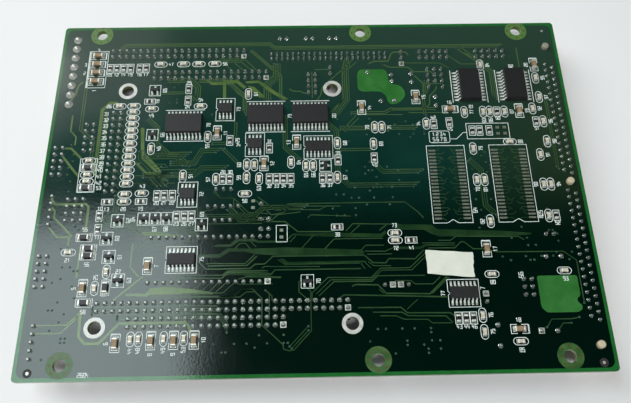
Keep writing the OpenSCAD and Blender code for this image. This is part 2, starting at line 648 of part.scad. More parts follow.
module wide_chips() color("dimgray") for (s = wide_sites) place(s) chip_body(chip_l(20), wide_body_w, chip_h);
module wide_chip_leads() color("silver") for (s = wide_sites) place(s) lead_rows(20, wide_body_w, chip_h);
module logic_chips() color("dimgray") for (s = logic_sites) place(s)
    chip_body(chip_l(14), narrow_body_w, narrow_h);
module logic_chip_leads() color("silver") for (s = logic_sites) place(s) lead_rows(14, narrow_body_w, narrow_h);
module amplifier_chips() color("dimgray") for (s = amplifier_sites) place(s)
    chip_body(chip_l(8), narrow_body_w, narrow_h);
module amplifier_chip_leads() color("silver") for (s = amplifier_sites) place(s)
    lead_rows(8, narrow_body_w, narrow_h);

transistor_w = 2.9;
transistor_d = 1.3;
transistor_h = 1.1;
transistor_lead_w = 0.44;
transistor_exit = chip_gap + (transistor_h - chip_gap + lead_t) / 2;
module transistors() color("dimgray") for (s = transistor_sites) place(s)
    translate([-transistor_w / 2, 0, chip_gap]) rotate([90, 0, 90]) linear_extrude(transistor_w)
        draft_section(transistor_d, transistor_h - chip_gap, 0.12);
module transistor_leads() color("silver") for (s = transistor_sites) place(s)
    for (p = [[0, 0], [-0.95, 180], [0.95, 180]]) rotate(p[1])
        translate([p[0] + transistor_lead_w / 2, transistor_d / 2, 0]) rotate([90, 0, -90])
            linear_extrude(transistor_lead_w) polygon([
                [0, transistor_exit], [-0.25, transistor_exit], [-0.3, 0.15], [-0.6, 0.15],
                [-0.6, 0], [-0.1, 0], [-0.05, transistor_exit - lead_t], [0, transistor_exit - lead_t]]);

module large_capacitors() color("tan") for (s = large_sites) place(s) chip_core(large_l, large_w, large_h);
module large_capacitor_ends() color("silver") for (s = large_sites) place(s)
    chip_ends(large_l, large_w, large_h);
module small_capacitors() color("burlywood") for (s = small_sites) place(s)
    chip_core(small_l, small_w, small_h);
module small_capacitor_ends() color("silver") for (s = small_sites) place(s)
    chip_ends(small_l, small_w, small_h);
module resistors() color("black") for (s = resistor_sites) place(s) chip_core(small_l, small_w, resistor_h);
module resistor_ends() color("silver") for (s = resistor_sites) place(s)
    chip_ends(small_l, small_w, resistor_h);
module ferrite_beads() color("dimgray") for (s = ferrite_sites) place(s) chip_core(large_l, large_w, large_h);
module ferrite_bead_ends() color("silver") for (s = ferrite_sites) place(s)
    chip_ends(large_l, large_w, large_h);

// Blank paper label with two torn corners.
label_x = 43.5;
label_y = -30;
module paper_label() color("ivory") place([label_x, label_y, -4]) linear_extrude(label_t)
    polygon([[-label_w / 2, -label_l / 2 + 0.6], [-label_w / 2 + 0.3, label_l / 2],
             [label_w / 2 - 0.2, label_l / 2 - 0.1], [label_w / 2, -label_l / 2 + 0.9],
             [label_w / 2 - 0.9, -label_l / 2], [0.5, -label_l / 2 + 0.25]]);

circuit_board();
standoff_lands();
memory_chip_lands();
spare_lands();
power_header();
power_pins();
power_joints();
hard_drive_shroud();
hard_drive_pins();
floppy_shroud();
floppy_pins();
port_shroud();
port_pins();
fine_drive_insulator();
fine_drive_pins();
header_insulators();
header_pins();
bus_socket_64();
bus_socket_40();
bus_contacts();
bus_pin_tails();
header_pin_tails();
fine_pin_tails();
memory_socket();
memory_contacts();
memory_latches();
memory_pin_tails();
flash_socket();
flash_chip();
flash_chip_leads();
flash_pin_tails();
processor();
chipset();
clock_crystals();
electrolytic_cans();
buzzer();
edge_leds();
leaded_part_tails();
wide_chips();
wide_chip_leads();
logic_chips();
logic_chip_leads();
amplifier_chips();
amplifier_chip_leads();
transistors();
transistor_leads();
large_capacitors();
large_capacitor_ends();
small_capacitors();
small_capacitor_ends();
resistors();
resistor_ends();
ferrite_beads();
ferrite_bead_ends();
paper_label();
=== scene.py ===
# %% [markdown]
# # A bare computer board, seen from its solder side
#
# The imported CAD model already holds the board, its connectors and every chip as plain solids.
# This lesson dresses that frame: copper tracks under the green lacquer, white printing, solder
# joints, chip finishes and a torn paper label. Everything sits at the origin with its place in
# its mesh, in metres, so we keep the numbers in millimetres and turn them once.

# %% Load the frame
import math

import bpy
import numpy as np
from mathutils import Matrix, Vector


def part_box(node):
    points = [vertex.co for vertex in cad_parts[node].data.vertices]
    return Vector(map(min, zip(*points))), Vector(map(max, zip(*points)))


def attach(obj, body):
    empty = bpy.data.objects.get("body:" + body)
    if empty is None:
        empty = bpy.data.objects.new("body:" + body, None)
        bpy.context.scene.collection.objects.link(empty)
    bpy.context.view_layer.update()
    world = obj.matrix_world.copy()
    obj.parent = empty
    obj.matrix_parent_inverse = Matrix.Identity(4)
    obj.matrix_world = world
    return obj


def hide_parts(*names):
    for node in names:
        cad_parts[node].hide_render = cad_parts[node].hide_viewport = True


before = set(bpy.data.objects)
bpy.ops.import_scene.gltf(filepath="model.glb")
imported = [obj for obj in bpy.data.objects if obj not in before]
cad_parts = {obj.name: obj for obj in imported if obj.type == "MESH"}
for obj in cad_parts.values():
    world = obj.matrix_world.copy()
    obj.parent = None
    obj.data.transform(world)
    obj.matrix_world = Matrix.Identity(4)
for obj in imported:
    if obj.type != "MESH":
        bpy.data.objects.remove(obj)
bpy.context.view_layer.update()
MM = 0.001
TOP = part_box("circuit_board")[1][2] / MM       # upper face of the board
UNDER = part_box("circuit_board")[0][2] / MM     # lower face, where the connectors hang
print("board faces at", round(TOP, 2), "and", round(UNDER, 2), "mm,", len(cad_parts), "nodes")

# %% [markdown]
# ## Tools of the lesson
# A board is a few shapes repeated hundreds of times. So each shape is one small array of points
# with its faces, `spread` copies it to a list of places in one step, and `build` hands the whole
# array to Blender. That is far quicker than making hundreds of objects.

# %% From arrays to pieces
def placed(name, data):
    """A new object of this name, put into the scene at the origin."""
    made = bpy.data.objects.new(name, data)
    bpy.context.collection.objects.link(made)
    return made


def dressed(name, mesh, look, instead_of=()):
    """A mesh becomes a piece: it gets its finish and rides on the one body there is."""
    mesh.materials.append(look)
    piece = placed(name, mesh)
    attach(piece, "root")
    if instead_of:
        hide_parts(*instead_of)
    return piece


def build(name, shape, look, instead_of=(), smooth=False):
    """Points (mm) and lists of faces with equal corner counts become one piece."""
    points, faces = shape
    mesh = bpy.data.meshes.new(name)
    mesh.vertices.add(len(points))
    mesh.vertices.foreach_set("co", (points * MM).astype(np.float32).ravel())
    sizes = np.concatenate([np.full(len(f), f.shape[1]) for f in faces])
    corners = np.concatenate([f.ravel() for f in faces])
    mesh.loops.add(len(corners))
    mesh.loops.foreach_set("vertex_index", corners.astype(np.int32))
    mesh.polygons.add(len(sizes))
    mesh.polygons.foreach_set("loop_start", (np.cumsum(sizes) - sizes).astype(np.int32))
    mesh.update(calc_edges=True)
    mesh.validate()
    if not smooth:
        mesh.shade_flat()
    print(name, len(points), "points", len(sizes), "faces")
    return dressed(name, mesh, look, instead_of)


def join(shapes):
    """Several shapes become one: points are stacked, and face numbers move up to match."""
    shapes = list(shapes)
    steps = np.cumsum([0] + [len(points) for points, _ in shapes])
    faces = [f + step for (_, lists), step in zip(shapes, steps) for f in lists]
    by_size = [np.concatenate([f for f in faces if f.shape[1] == k])
               for k in sorted({f.shape[1] for f in faces})]
    return np.concatenate([points for points, _ in shapes]), by_size


def spread(shape, places):
    """A copy of the shape at each place (x, y, z, turn in degrees): one turn and one shift per
    copy. Places of x and y alone stay unturned at the shape's own height."""
    points, faces = shape
    places = np.atleast_2d(np.asarray(places, float))
    places = np.pad(places, ((0, 0), (0, 4 - places.shape[1])))
    c, s = np.cos(np.radians(places[:, 3:4])), np.sin(np.radians(places[:, 3:4]))
    x = places[:, 0:1] + c * points[:, 0] - s * points[:, 1]
    y = places[:, 1:2] + s * points[:, 0] + c * points[:, 1]
    z = places[:, 2:3] + points[:, 2] + 0 * x
    step = np.arange(len(places))[:, None, None] * len(points)
    copies = [(f[None] + step).reshape(-1, f.shape[1]) for f in faces]
    return np.stack([x, y, z], -1).reshape(-1, 3), copies


print("arrays are in mm; a piece gets them times", MM)

# %% Turned and flat shapes
def net(rows, columns, closed_rows=False, closed_columns=True):
    """Quads between neighbours in a grid of points, and from its end to its start if closed."""
    i, j = np.meshgrid(np.arange(rows if closed_rows else rows - 1),
                       np.arange(columns if closed_columns else columns - 1), indexing="ij")
    m, k = (i + 1) % rows, (j + 1) % columns
    corners = [i * columns + j, i * columns + k, m * columns + k, m * columns + j]
    return np.stack(corners, -1).reshape(-1, 4)


FLIP = [0, 3, 2, 1]            # a quad's corners taken the other way round, so that it faces back


def hoops(section, sides, phase=0.0):
    """Points of a section of (radius, height) turned about z: x = r cos a, y = r sin a."""
    section = np.asarray(section, float)
    a = phase + np.arange(sides) * 2 * np.pi / sides
    r, z = section[:, 0:1], section[:, 1:2]
    return np.stack([r * np.cos(a), r * np.sin(a), z + 0 * a], -1).reshape(-1, 3)


def turned(profile, sides, phase=0.0):
    """A profile of (radius, height) turned about z. Both ends close by a fan to the axis."""
    points = hoops(profile, sides, phase)
    j = np.arange(sides)
    k = (j + 1) % sides
    count = len(points)
    last = count - sides
    fans = [np.stack([k, j, count + 0 * j], -1),
            np.stack([last + j, last + k, count + 1 + 0 * j], -1)]
    ends = [(0, 0, profile[0][1]), (0, 0, profile[-1][1])]
    return np.concatenate([points, ends]), [np.concatenate(fans), net(len(profile), sides)]


def washer(r_in, r_out, z0, z1, sides):
    """A flat ring: a rectangle of radii and heights turned about z and closed like a tyre."""
    section = [(r_in, z0), (r_out, z0), (r_out, z1), (r_in, z1)]
    return hoops(section, sides), [net(4, sides, closed_rows=True)]


def rectangle(x, y, half_w, half_h):
    """Corners of a rectangle by its middle and half sides, counter-clockwise."""
    corners = [(-half_w, -half_h), (half_w, -half_h), (half_w, half_h), (-half_w, half_h)]
    return np.array(corners) + (x, y)


def plate(outline, z0, z1):
    """A flat outline, counter-clockwise, raised from z0 to z1: two rings, walls and two lids."""
    outline = np.asarray(outline, float)
    n = len(outline)
    points = np.concatenate([np.c_[outline, np.full(n, z)] for z in (z0, z1)])
    j = np.arange(n)
    k = (j + 1) % n
    walls = np.stack([j, k, n + k, n + j], -1)
    lids = np.stack([j[::-1], n + j])
    return points, [walls, lids] if n != 4 else [np.concatenate([walls, lids])]


print("a washer of 24 sides has", len(washer(1, 2, 0, 1, 24)[1][0]), "faces")

# %% Strips along a path
SHARPEST = 0.5                 # least cosine of half a turn, so that a sharp corner isn't drawn out


def beside(path, distance, closed=False):
    """The path moved sideways. Each corner goes along the mean of its two normals, by the
    distance over the cosine of half its turn, so that the sides stay parallel."""
    path = np.asarray(path, float)
    ahead = np.roll(path, -1, 0) - path
    if not closed:
        ahead[-1] = ahead[-2]
    ahead /= np.linalg.norm(ahead, axis=1, keepdims=True)
    behind = np.roll(ahead, 1, 0)
    if not closed:
        behind[0] = ahead[0]
    normal, side = (np.stack([-v[:, 1], v[:, 0]], -1) for v in (ahead, ahead + behind))
    side /= np.linalg.norm(side, axis=1, keepdims=True)
    return path + side * (distance / np.maximum((side * normal).sum(1, keepdims=True), SHARPEST))


def ribbon(path, width, z0, z1, closed=False):
    """A strip of even width along a flat path: the path moved to each side, at both heights."""
    n = len(path)
    left, right = (beside(path, half, closed) for half in (width / 2, -width / 2))
    edges = (left, z0), (right, z0), (right, z1), (left, z1)
    points = np.concatenate([np.c_[edge, np.full(n, z)] for edge, z in edges])
    quads = net(4, n, True, closed)[:, FLIP]
    if not closed:
        ends = [[0, 3 * n, 2 * n, n], [n - 1, 2 * n - 1, 3 * n - 1, 4 * n - 1]]
        quads = np.concatenate([quads, ends])
    return points, [quads]


print("a strip round one corner has", len(ribbon([(0, 0), (1, 0), (1, 1)], 0.2, 0, 1)[0]), "points")

# %% [markdown]
# The CAD nodes know where every lead and chip lies. A node's mesh is loose triangles, so we merge
# equal points and let each triangle hand its lowest number to its corners until nothing changes:
# what shares a number is one solid. Its box then tells us place and size, with no second list.

# %% Find the solids of a node
PER_METRE = 1e6                # points are merged as whole micrometres


def solids(node):
    """Boxes (lowest, highest corner, in mm) of the separate solids of a CAD node, by x, then y."""
    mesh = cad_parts[node].data
    co = np.empty(len(mesh.vertices) * 3, np.float32)
    mesh.vertices.foreach_get("co", co)
    mesh.calc_loop_triangles()
    tri = np.empty(len(mesh.loop_triangles) * 3, np.int32)
    mesh.loop_triangles.foreach_get("vertices", tri)
    whole = np.round(co.reshape(-1, 3) * PER_METRE).astype(np.int64)
    points, same = np.unique(whole, axis=0, return_inverse=True)
    tri = same.ravel()[tri].reshape(-1, 3)
    mark = np.arange(len(points))
    while True:
        low = mark[tri].min(1)
        new = mark.copy()
        for corner in range(3):
            np.minimum.at(new, tri[:, corner], low)
        new = new[new]
        if (new == mark).all():
            break
        mark = new
    points = points * MM
    parts = [points[mark == m] for m in np.unique(mark)]
    boxes = [np.stack([part.min(0), part.max(0)]) for part in parts]
    boxes = [b for b in boxes if (b[1] - b[0]).min() > 0]
    return np.array(sorted(boxes, key=lambda b: (round(b[0][0], 2), round(b[0][1], 2))))


def middles(node):
    """Middle x and y of each solid of a node."""
    return solids(node).mean(1)[:, :2]


def footprints(*nodes):
    """What the solids of some nodes cover: lowest x and y, highest x and y."""
    return np.concatenate([solids(node)[:, :, :2].reshape(-1, 4) for node in nodes])


print("header pins:", len(middles("header_pins")), "capacitors:", len(middles("small_capacitors")))

# %% [markdown]
# ## Finishes
# Real moulded plastic, solder and ceramic are never one flat colour. Each finish here lets a noise
# on Object coordinates drift between two colours and two roughness values, and a second, finer
# noise gives the bump. The grain is given in millimetres, because that is how one sees it.

# %% A finish with grain
def paint(r, g, b):
    """Screen colour 0 to 255 turned to the linear colour that a shader wants."""
    c = np.array([r, g, b]) / 255
    return tuple(np.where(c <= 0.04045, c / 12.92, ((c + 0.055) / 1.055) ** 2.4)) + (1.0,)


def add_node(tree, kind, inputs, **settings):
    """A new node. Each input gets a plain value, or a link from another node's socket."""
    made = tree.nodes.new("ShaderNode" + kind)
    for name, value in settings.items():
        setattr(made, name, value)
    for name, value in inputs.items():
        if isinstance(value, bpy.types.NodeSocket):
            tree.links.new(value, made.inputs[name])
        else:
            made.inputs[name].default_value = value
    return made


def slide(tree, value, low, high, start=0.0, end=1.0, kind="LINEAR"):
    """While the value goes from low to high, the result goes from start to end and stays there."""
    ends = {"Value": value, "From Min": low, "From Max": high, "To Min": start, "To Max": end}
    return add_node(tree, "MapRange", ends, interpolation_type=kind).outputs["Result"]


def place_in(tree):
    """Socket of the Object coordinates, and the three sockets of its X, Y and Z."""
    where = add_node(tree, "TexCoord", {}).outputs["Object"]
    return where, add_node(tree, "SeparateXYZ", {0: where}).outputs


def mix(tree, share, a, b):
    """Colour a goes over to colour b with the share."""
    return add_node(tree, "Mix", {0: share, 6: a, 7: b}, data_type="RGBA").outputs[2]


def base_colour(made):
    """Socket of a finish's colour, and what is linked to it."""
    base = made.node_tree.nodes["Principled BSDF"].inputs["Base Color"]
    return base, base.links[0].from_socket


CAD_FINISHES = len(bpy.data.materials)   # the plain ones that came with the frame
LOWEST, HIGHEST = 0.3, 0.7     # a noise rarely leaves this span
RELIEF = 0.3                   # depth of the bump as a share of its grain


def finish(name, low, high, grain, rough, metal, bump, fine, stretch=(1, 1, 1)):
    """Noise of size grain (mm) mixes the two screen colours and the two roughness values, and
    noise of size fine (mm) gives the bump."""
    made = bpy.data.materials.new(name)
    made.use_nodes = True
    tree = made.node_tree
    shader = tree.nodes["Principled BSDF"].inputs
    shader["Metallic"].default_value = metal
    shader["IOR"].default_value = 1.5
    where = add_node(tree, "TexCoord", {}).outputs["Object"]
    where = add_node(tree, "Mapping", {"Vector": where, "Scale": stretch}).outputs[0]

    def noise(size, detail):
        inputs = {"Scale": 1 / (size * MM), "Detail": detail, "Vector": where}
        return add_node(tree, "TexNoise", inputs).outputs["Fac"]

    coarse = noise(grain, 3)
    ramp = add_node(tree, "ValToRGB", {"Fac": coarse})
    for stop, at, tone in zip(ramp.color_ramp.elements, (LOWEST, HIGHEST), (low, high)):
        stop.position, stop.color = at, paint(*tone)
    relief = add_node(tree, "Bump", {"Strength": bump, "Distance": fine * MM * RELIEF,
                                     "Height": noise(fine, 2)})
    tree.links.new(ramp.outputs["Color"], shader["Base Color"])
    tree.links.new(slide(tree, coarse, LOWEST, HIGHEST, *rough), shader["Roughness"])
    tree.links.new(relief.outputs["Normal"], shader["Normal"])
    return made


def tinted(made, axis, low, high, tone, most=1.0, over=None):
    """The finish goes over to another tone along one axis, from none at low to most at high
    (metres). With over, this holds only where z is over that level."""
    tree = made.node_tree
    base, plain = base_colour(made)
    _, at = place_in(tree)
    share = slide(tree, at[axis], low, high, 0.0, most, "SMOOTHSTEP")
    if over is not None:
        above = add_node(tree, "Math", {0: at["Z"], 1: over}, operation="GREATER_THAN").outputs[0]
        share = add_node(tree, "Math", {0: share, 1: above}, operation="MULTIPLY").outputs[0]
    tree.links.new(mix(tree, share, plain, paint(*tone)), base)


print("middle grey of the screen, 128, is", round(paint(128, 128, 128)[0], 3), "to a shader")

# %% Finishes of metal
# columns: darker and lighter screen colour, grain in mm, roughness, metallic, bump, bump's grain
SOLDER = finish("bright_solder", (162, 172, 165), (210, 221, 213),
                0.8, (0.12, 0.24), 1.0, 0.25, 0.4)
SATIN_SOLDER = finish("satin_solder", (196, 198, 190), (224, 225, 217),
                      1.0, (0.26, 0.4), 0.6, 0.25, 0.4)
BRIGHT_HEAP = finish("bright_fillet", (214, 219, 212), (240, 244, 238),
                     0.8, (0.16, 0.28), 0.55, 0.2, 0.3)
LAND = finish("dull_tinned_land", (122, 128, 112), (158, 162, 146), 0.8, (0.3, 0.45), 0.6, 0.2, 0.3)
TIN = finish("tinned_copper", (186, 189, 182), (220, 222, 214), 1.2, (0.3, 0.45), 0.55, 0.2, 0.3)
PALE_TIN = finish("pale_tinned_ring", (186, 188, 182), (212, 213, 208),
                  1.6, (0.35, 0.5), 0.25, 0.15, 0.4)
PIN = finish("tinned_pin", (140, 142, 139), (178, 179, 175), 0.9, (0.36, 0.5), 0.9, 0.1, 0.2)
LEAD = finish("bright_gull_wing", (226, 231, 226), (244, 248, 243),
              0.9, (0.3, 0.42), 0.4, 0.12, 0.2)
GOLD = finish("gold_flash", (196, 150, 70), (226, 186, 104), 0.7, (0.22, 0.36), 1.0, 0.1, 0.2)
CAP = finish("end_cap", (218, 217, 206), (240, 239, 230), 0.6, (0.22, 0.38), 0.4, 0.25, 0.2)
CAN = finish("steel_can", (176, 176, 174), (204, 204, 202),
             3.0, (0.24, 0.36), 1.0, 0.12, 0.3, stretch=(1, 1, 6))
print(len(bpy.data.materials) - CAD_FINISHES, "finishes of metal")

# %% Finishes of lacquered copper and print
PRINT = finish("white_print", (206, 220, 214), (238, 244, 240), 1.5, (0.5, 0.7), 0.0, 0.3, 0.12)
TRACK = finish("lacquer_on_track", (34, 62, 38), (54, 82, 48), 9, (0.12, 0.2), 0.0, 0.08, 0.5)
# painted reflection: the tracks go lighter towards the back, where the lacquer mirrors the bright
# room low down
tinted(TRACK, "Y", -0.012, 0.04, (74, 100, 62), 0.85)
DULL_TRACK = finish("lacquer_on_track_bands", (20, 46, 26), (38, 66, 36),
                    5, (0.12, 0.2), 0.0, 0.1, 0.5)
POWER_TRACK = finish("lacquer_on_power_track", (68, 95, 50), (94, 117, 64),
                     7, (0.14, 0.22), 0.0, 0.08, 0.5)
LAMINATE = finish("lacquer_on_bare_laminate", (36, 100, 38), (50, 116, 50),
                  5, (0.3, 0.42), 0.0, 0.04, 0.6)
RING = finish("lacquer_on_ring", (42, 82, 38), (66, 104, 52), 2.4, (0.28, 0.4), 0.0, 0.1, 0.5)
# painted light: the rings are darker at the front as painted shade and lighter towards the back as
# painted reflection
tinted(RING, "Y", -0.03, 0.03, (84, 124, 62), 0.85)
VIA = finish("lacquer_on_via", (24, 62, 46), (52, 90, 68), 3.0, (0.2, 0.3), 0.0, 0.05, 0.4)
print(len(bpy.data.materials) - CAD_FINISHES, "finishes so far")

# %% Finishes of plastic, ceramic and paper
MOULD = finish("moulding_compound", (17, 17, 18), (27, 27, 28), 0.5, (0.42, 0.58), 0.0, 0.35, 0.1)
BLACK = finish("black_plastic", (20, 20, 21), (32, 32, 33), 2.0, (0.35, 0.55), 0.0, 0.3, 0.14)
TAN_PLASTIC = finish("tan_plastic", (220, 200, 164), (238, 222, 190),
                     4.0, (0.42, 0.58), 0.0, 0.2, 0.2)
# the peg tops that stand above the board face go a greyer beige, and the one at the back goes grey
tinted(TAN_PLASTIC, "Z", 0.0124, 0.0126, (196, 183, 156))
tinted(TAN_PLASTIC, "Y", 0.045, 0.047, (126, 128, 116), 0.8, 0.0124)
NYLON = finish("natural_nylon", (222, 216, 196), (236, 231, 214), 5.0, (0.4, 0.55), 0.0, 0.15, 0.3)
TAN = finish("tan_ceramic", (128, 106, 76), (160, 138, 106), 0.7, (0.45, 0.6), 0.0, 0.35, 0.12)
BEIGE = finish("beige_ceramic", (186, 177, 154), (214, 205, 182), 0.6, (0.42, 0.6), 0.0, 0.3, 0.12)
GLAZE = finish("resistor_glaze", (24, 24, 26), (42, 41, 42), 0.5, (0.22, 0.35), 0.0, 0.15, 0.1)
FERRITE = finish("ferrite", (46, 47, 50), (70, 71, 74), 0.4, (0.5, 0.7), 0.0, 0.4, 0.1)
SLEEVE = finish("blue_sleeve", (22, 30, 58), (34, 42, 76), 2.5, (0.28, 0.4), 0.0, 0.1, 0.3)
LENS = finish("green_lens", (74, 150, 60), (100, 176, 80), 1.5, (0.12, 0.22), 0.0, 0.05, 0.3)
PAPER = finish("matt_paper", (212, 216, 202), (222, 226, 213), 4, (0.75, 0.9), 0.0, 0.35, 0.14)
SUBSTRATE = finish("chip_substrate", (24, 66, 40), (34, 82, 50), 2.5, (0.35, 0.5), 0.0, 0.15, 0.25)
print(len(bpy.data.materials) - CAD_FINISHES, "finishes up to here")

# %% [markdown]
# ### The lacquered board itself
# The board is one CAD solid, so its faces are told apart by place: the cut edge is what lies
# between the two faces in z, and the bright band round the rim, where the inner copper stops
# short, is what lies outside a rounded rectangle. The usual formula tells how far out a point is:
# how much it stands out of the straight part on each side, put together as one length.

# %% Board finish
HALF_W, HALF_L = 92, 65        # half sides of the board
BAND, BAND_CORNER = 1.15, 2.2  # width of the bare band, and radius of its inner corners
SKIN = 0.05                    # nearer than this to a face counts as the face


def board_finish():
    """Copper under lacquer with painted light and shade across it, bare laminate in the band round
    it, pale glass at the cut edge.
    """
    made = finish("lacquered_board", (10, 45, 38), (16, 55, 47), 16, (0.1, 0.15), 0.0, 0.06, 0.9)
    tree = made.node_tree
    base, copper = base_colour(made)
    where, at = place_in(tree)

    def calc(operation, *values):
        return add_node(tree, "Math", dict(enumerate(values)), operation=operation).outputs[0]

    # painted light and shade: the lacquer is darker towards the front as painted shade, and lighter
    # towards the back as a painted reflection of the bright room; it also goes an olive grey
    # towards the right edge
    for axis, low, high, tone in (("X", 0.095, 0.035, (36, 54, 36)),
                                  ("Y", -0.024, 0.014, (1, 20, 13)),
                                  ("Y", 0.072, 0.005, (40, 64, 52))):
        painted_light = slide(tree, at[axis], low, high, kind="SMOOTHSTEP")
        copper = mix(tree, painted_light, paint(*tone), copper)
    squares = []
    for axis, half in (("X", HALF_W), ("Y", HALF_L)):
        far = calc("SUBTRACT", calc("ABSOLUTE", at[axis]), (half - BAND - BAND_CORNER) * MM)
        out = calc("MAXIMUM", far, 0.0)
        squares.append(calc("MULTIPLY", out, out))
    rim = calc("GREATER_THAN", calc("SQRT", calc("ADD", *squares)), BAND_CORNER * MM)
    cloth = add_node(tree, "TexNoise", {"Scale": 1 / (2.5 * MM), "Vector": where}).outputs["Fac"]
    bare = mix(tree, cloth, paint(20, 84, 36), paint(40, 112, 52))
    glass = mix(tree, cloth, paint(96, 118, 70), paint(134, 146, 96))
    above = calc("GREATER_THAN", at["Z"], (UNDER + SKIN) * MM)
    below = calc("LESS_THAN", at["Z"], (TOP - SKIN) * MM)
    face = mix(tree, rim, copper, bare)
    tree.links.new(mix(tree, calc("MULTIPLY", above, below), face, glass), base)
    return made


def coat(look, nodes):
    """The CAD nodes named in the text keep their meshes and get this finish."""
    for name in nodes.split():
        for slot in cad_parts[name].material_slots:
            slot.material = look


coat(board_finish(), "circuit_board")
coat(PIN, "power_pins memory_latches flash_chip_leads bus_pin_tails header_pin_tails "
          "fine_pin_tails memory_pin_tails flash_pin_tails leaded_part_tails")
coat(GOLD, "hard_drive_pins floppy_pins port_pins fine_drive_pins header_pins bus_contacts "
           "memory_contacts")
coat(LEAD, "wide_chip_leads logic_chip_leads amplifier_chip_leads transistor_leads")
coat(PALE_TIN, "standoff_lands")
coat(LAND, "memory_chip_lands spare_lands")
print("board and metal nodes finished")

# %% [markdown]
# ## Moulded bodies with soft edges
# A moulded or machined part never has a knife edge: the light catches a thin rounded line. The CAD
# solids are sharp, so we take a merged copy of each, join its flat triangles to whole faces, and
# let a Bevel modifier round what is sharper than 30 degrees. The copy replaces the node on show.

# %% Bevelled copies
import bmesh

MERGE = 2e-7                   # metres: closer points are one point
FLAT, SHARP = math.radians(1), math.radians(30)


def softened(node, look, width):
    """A merged copy of a CAD node: one face to a flat side, edges rounded by the width (mm)."""
    work = bmesh.new()
    work.from_mesh(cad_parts[node].data)
    bmesh.ops.remove_doubles(work, verts=work.verts, dist=MERGE)
    bmesh.ops.dissolve_limit(work, angle_limit=FLAT, verts=work.verts, edges=work.edges)
    mesh = bpy.data.meshes.new("soft_" + node)
    work.to_mesh(mesh)
    work.free()
    mesh.materials.clear()
    edge = dressed("soft_" + node, mesh, look, [node]).modifiers.new("edge", "BEVEL")
    edge.width, edge.segments = width * MM, 2
    edge.limit_method, edge.angle_limit = "ANGLE", SHARP
    edge.harden_normals, edge.use_clamp_overlap = False, True


for look, slot, widths in (
    (MOULD, "mould_compound", {"wide_chips": 0.1, "logic_chips": 0.09, "amplifier_chips": 0.09,
                               "transistors": 0.07, "flash_chip": 0.15}),
    (TAN, "tan_ceramic", {"large_capacitors": 0.08}),
    (BEIGE, "beige_ceramic", {"small_capacitors": 0.07}),
    (GLAZE, "resistor_body", {"resistors": 0.04}),
    (FERRITE, "ferrite", {"ferrite_beads": 0.08}),
    (CAP, "end_cap", {"large_capacitor_ends": 0.1, "small_capacitor_ends": 0.09,
                      "resistor_ends": 0.07, "ferrite_bead_ends": 0.1}),
    (BLACK, "black_plastic", {"hard_drive_shroud": 0.15, "floppy_shroud": 0.15, "port_shroud": 0.15,
                              "fine_drive_insulator": 0.1, "header_insulators": 0.1,
                              "bus_socket_64": 0.12, "bus_socket_40": 0.12, "flash_socket": 0.15,
                              "buzzer": 0.25}),
    (NYLON, "white_plastic", {"power_header": 0.18}),
    (TAN_PLASTIC, "tan_plastic", {"memory_socket": 0.18}),
    (CAN, "can_metal", {"clock_crystals": 0.25}),
    (SLEEVE, "can_sleeve", {"electrolytic_cans": 0.35}),
    (LENS, "green_lens", {"edge_leds": 0.2}),
):
    for name, width in widths.items():
        softened(name, look, width)

# %% [markdown]
# ## Lands and solder under the small parts
# Each chip part stands on two tinned lands, and a small concave heap of solder climbs its metal
# end. The heap is a curve drawn in side view, carried across the width of the part.
# The same heap, smaller, stands at the toe of every gull-wing lead.

# %% Solder heaps
SUNK = TOP - 0.02              # copper and solder start a little under the face, so no gap shows
LAND_TOP = TOP + 0.045
HEAP_FOOT = TOP + 0.04


def heap(width, out, height):
    """Side profile (out, height) falling as a hollow curve, carried across the width and pinched
    at its toe."""
    profile = np.array([[-0.05, 0], [out, 0], [0.5 * out, 0.14 * height],
                        [0.2 * out, 0.42 * height], [0.04 * out, 0.8 * height], [-0.05, height]])
    n = len(profile)
    half = width / 2 * (1 - 0.22 * np.clip(profile[:, 0:1] / out, 0, 1))
    sides = [np.c_[profile[:, 0:1], s * half, profile[:, 1:2]] for s in (-1, 1)]
    j = np.arange(n)
    k = (j + 1) % n
    walls = np.stack([j, k, n + k, n + j], -1)[:, ::-1].copy()
    return np.concatenate(sides), [walls, np.stack([j, (n + j)[::-1]])]


def heading(middle, centres, along_x):
    """Turn of each solid away from the nearest body, in degrees, and the step of 1 mm that way."""
    gap = np.linalg.norm(middle[:, None] - centres[None], axis=2)
    away = middle - centres[gap.argmin(1)]
    turn = np.where(along_x, np.where(away[:, 0] > 0, 0, 180), np.where(away[:, 1] > 0, 90, 270))
    return turn, np.stack([np.cos(np.radians(turn)), np.sin(np.radians(turn))], -1)


land_shapes, heap_shapes, keep_off = [], [], []


def solder_on(land, centre, half, spot, solder, foot, turn):
    """Lands at their spots and heaps at their feet, turned alike. Print keeps off a rectangle
    with this centre and half sides."""
    land_shapes.append(spread(plate(land, SUNK, LAND_TOP), np.c_[spot, 0 * turn, turn]))
    heap_shapes.append(spread(solder, np.c_[foot, 0 * turn + HEAP_FOOT, turn]))
    half = np.where((turn % 180 == 0)[:, None], half, half[::-1])
    keep_off.append(np.concatenate([centre - half, centre + half], 1))


# columns: end caps, bodies, width of the part, length of the land, rise of the solder
for ends, cores, across, land_l, rise in (
    ("large_capacitor_ends", "large_capacitors", 1.6, 1.05, 0.75),
    ("ferrite_bead_ends", "ferrite_beads", 1.6, 1.05, 0.7),
    ("small_capacitor_ends", "small_capacitors", 1.2, 0.85, 0.5),
    ("resistor_ends", "resistors", 1.2, 0.85, 0.4),
):
    boxes = solids(ends)
    size, middle = (boxes[:, 1] - boxes[:, 0])[:, :2], boxes.mean(1)[:, :2]
    turn, step = heading(middle, middles(cores), size[:, 1] > size[:, 0])
    half = (land_l / 2, across * 0.56)
    spot = middle + step * 0.22                     # the land reaches out past the end cap
    foot = middle + step * size.min(1)[:, None] / 2
    solder_on(rectangle(0, 0, *half), spot, half, spot, heap(across, 0.42, rise), foot, turn)

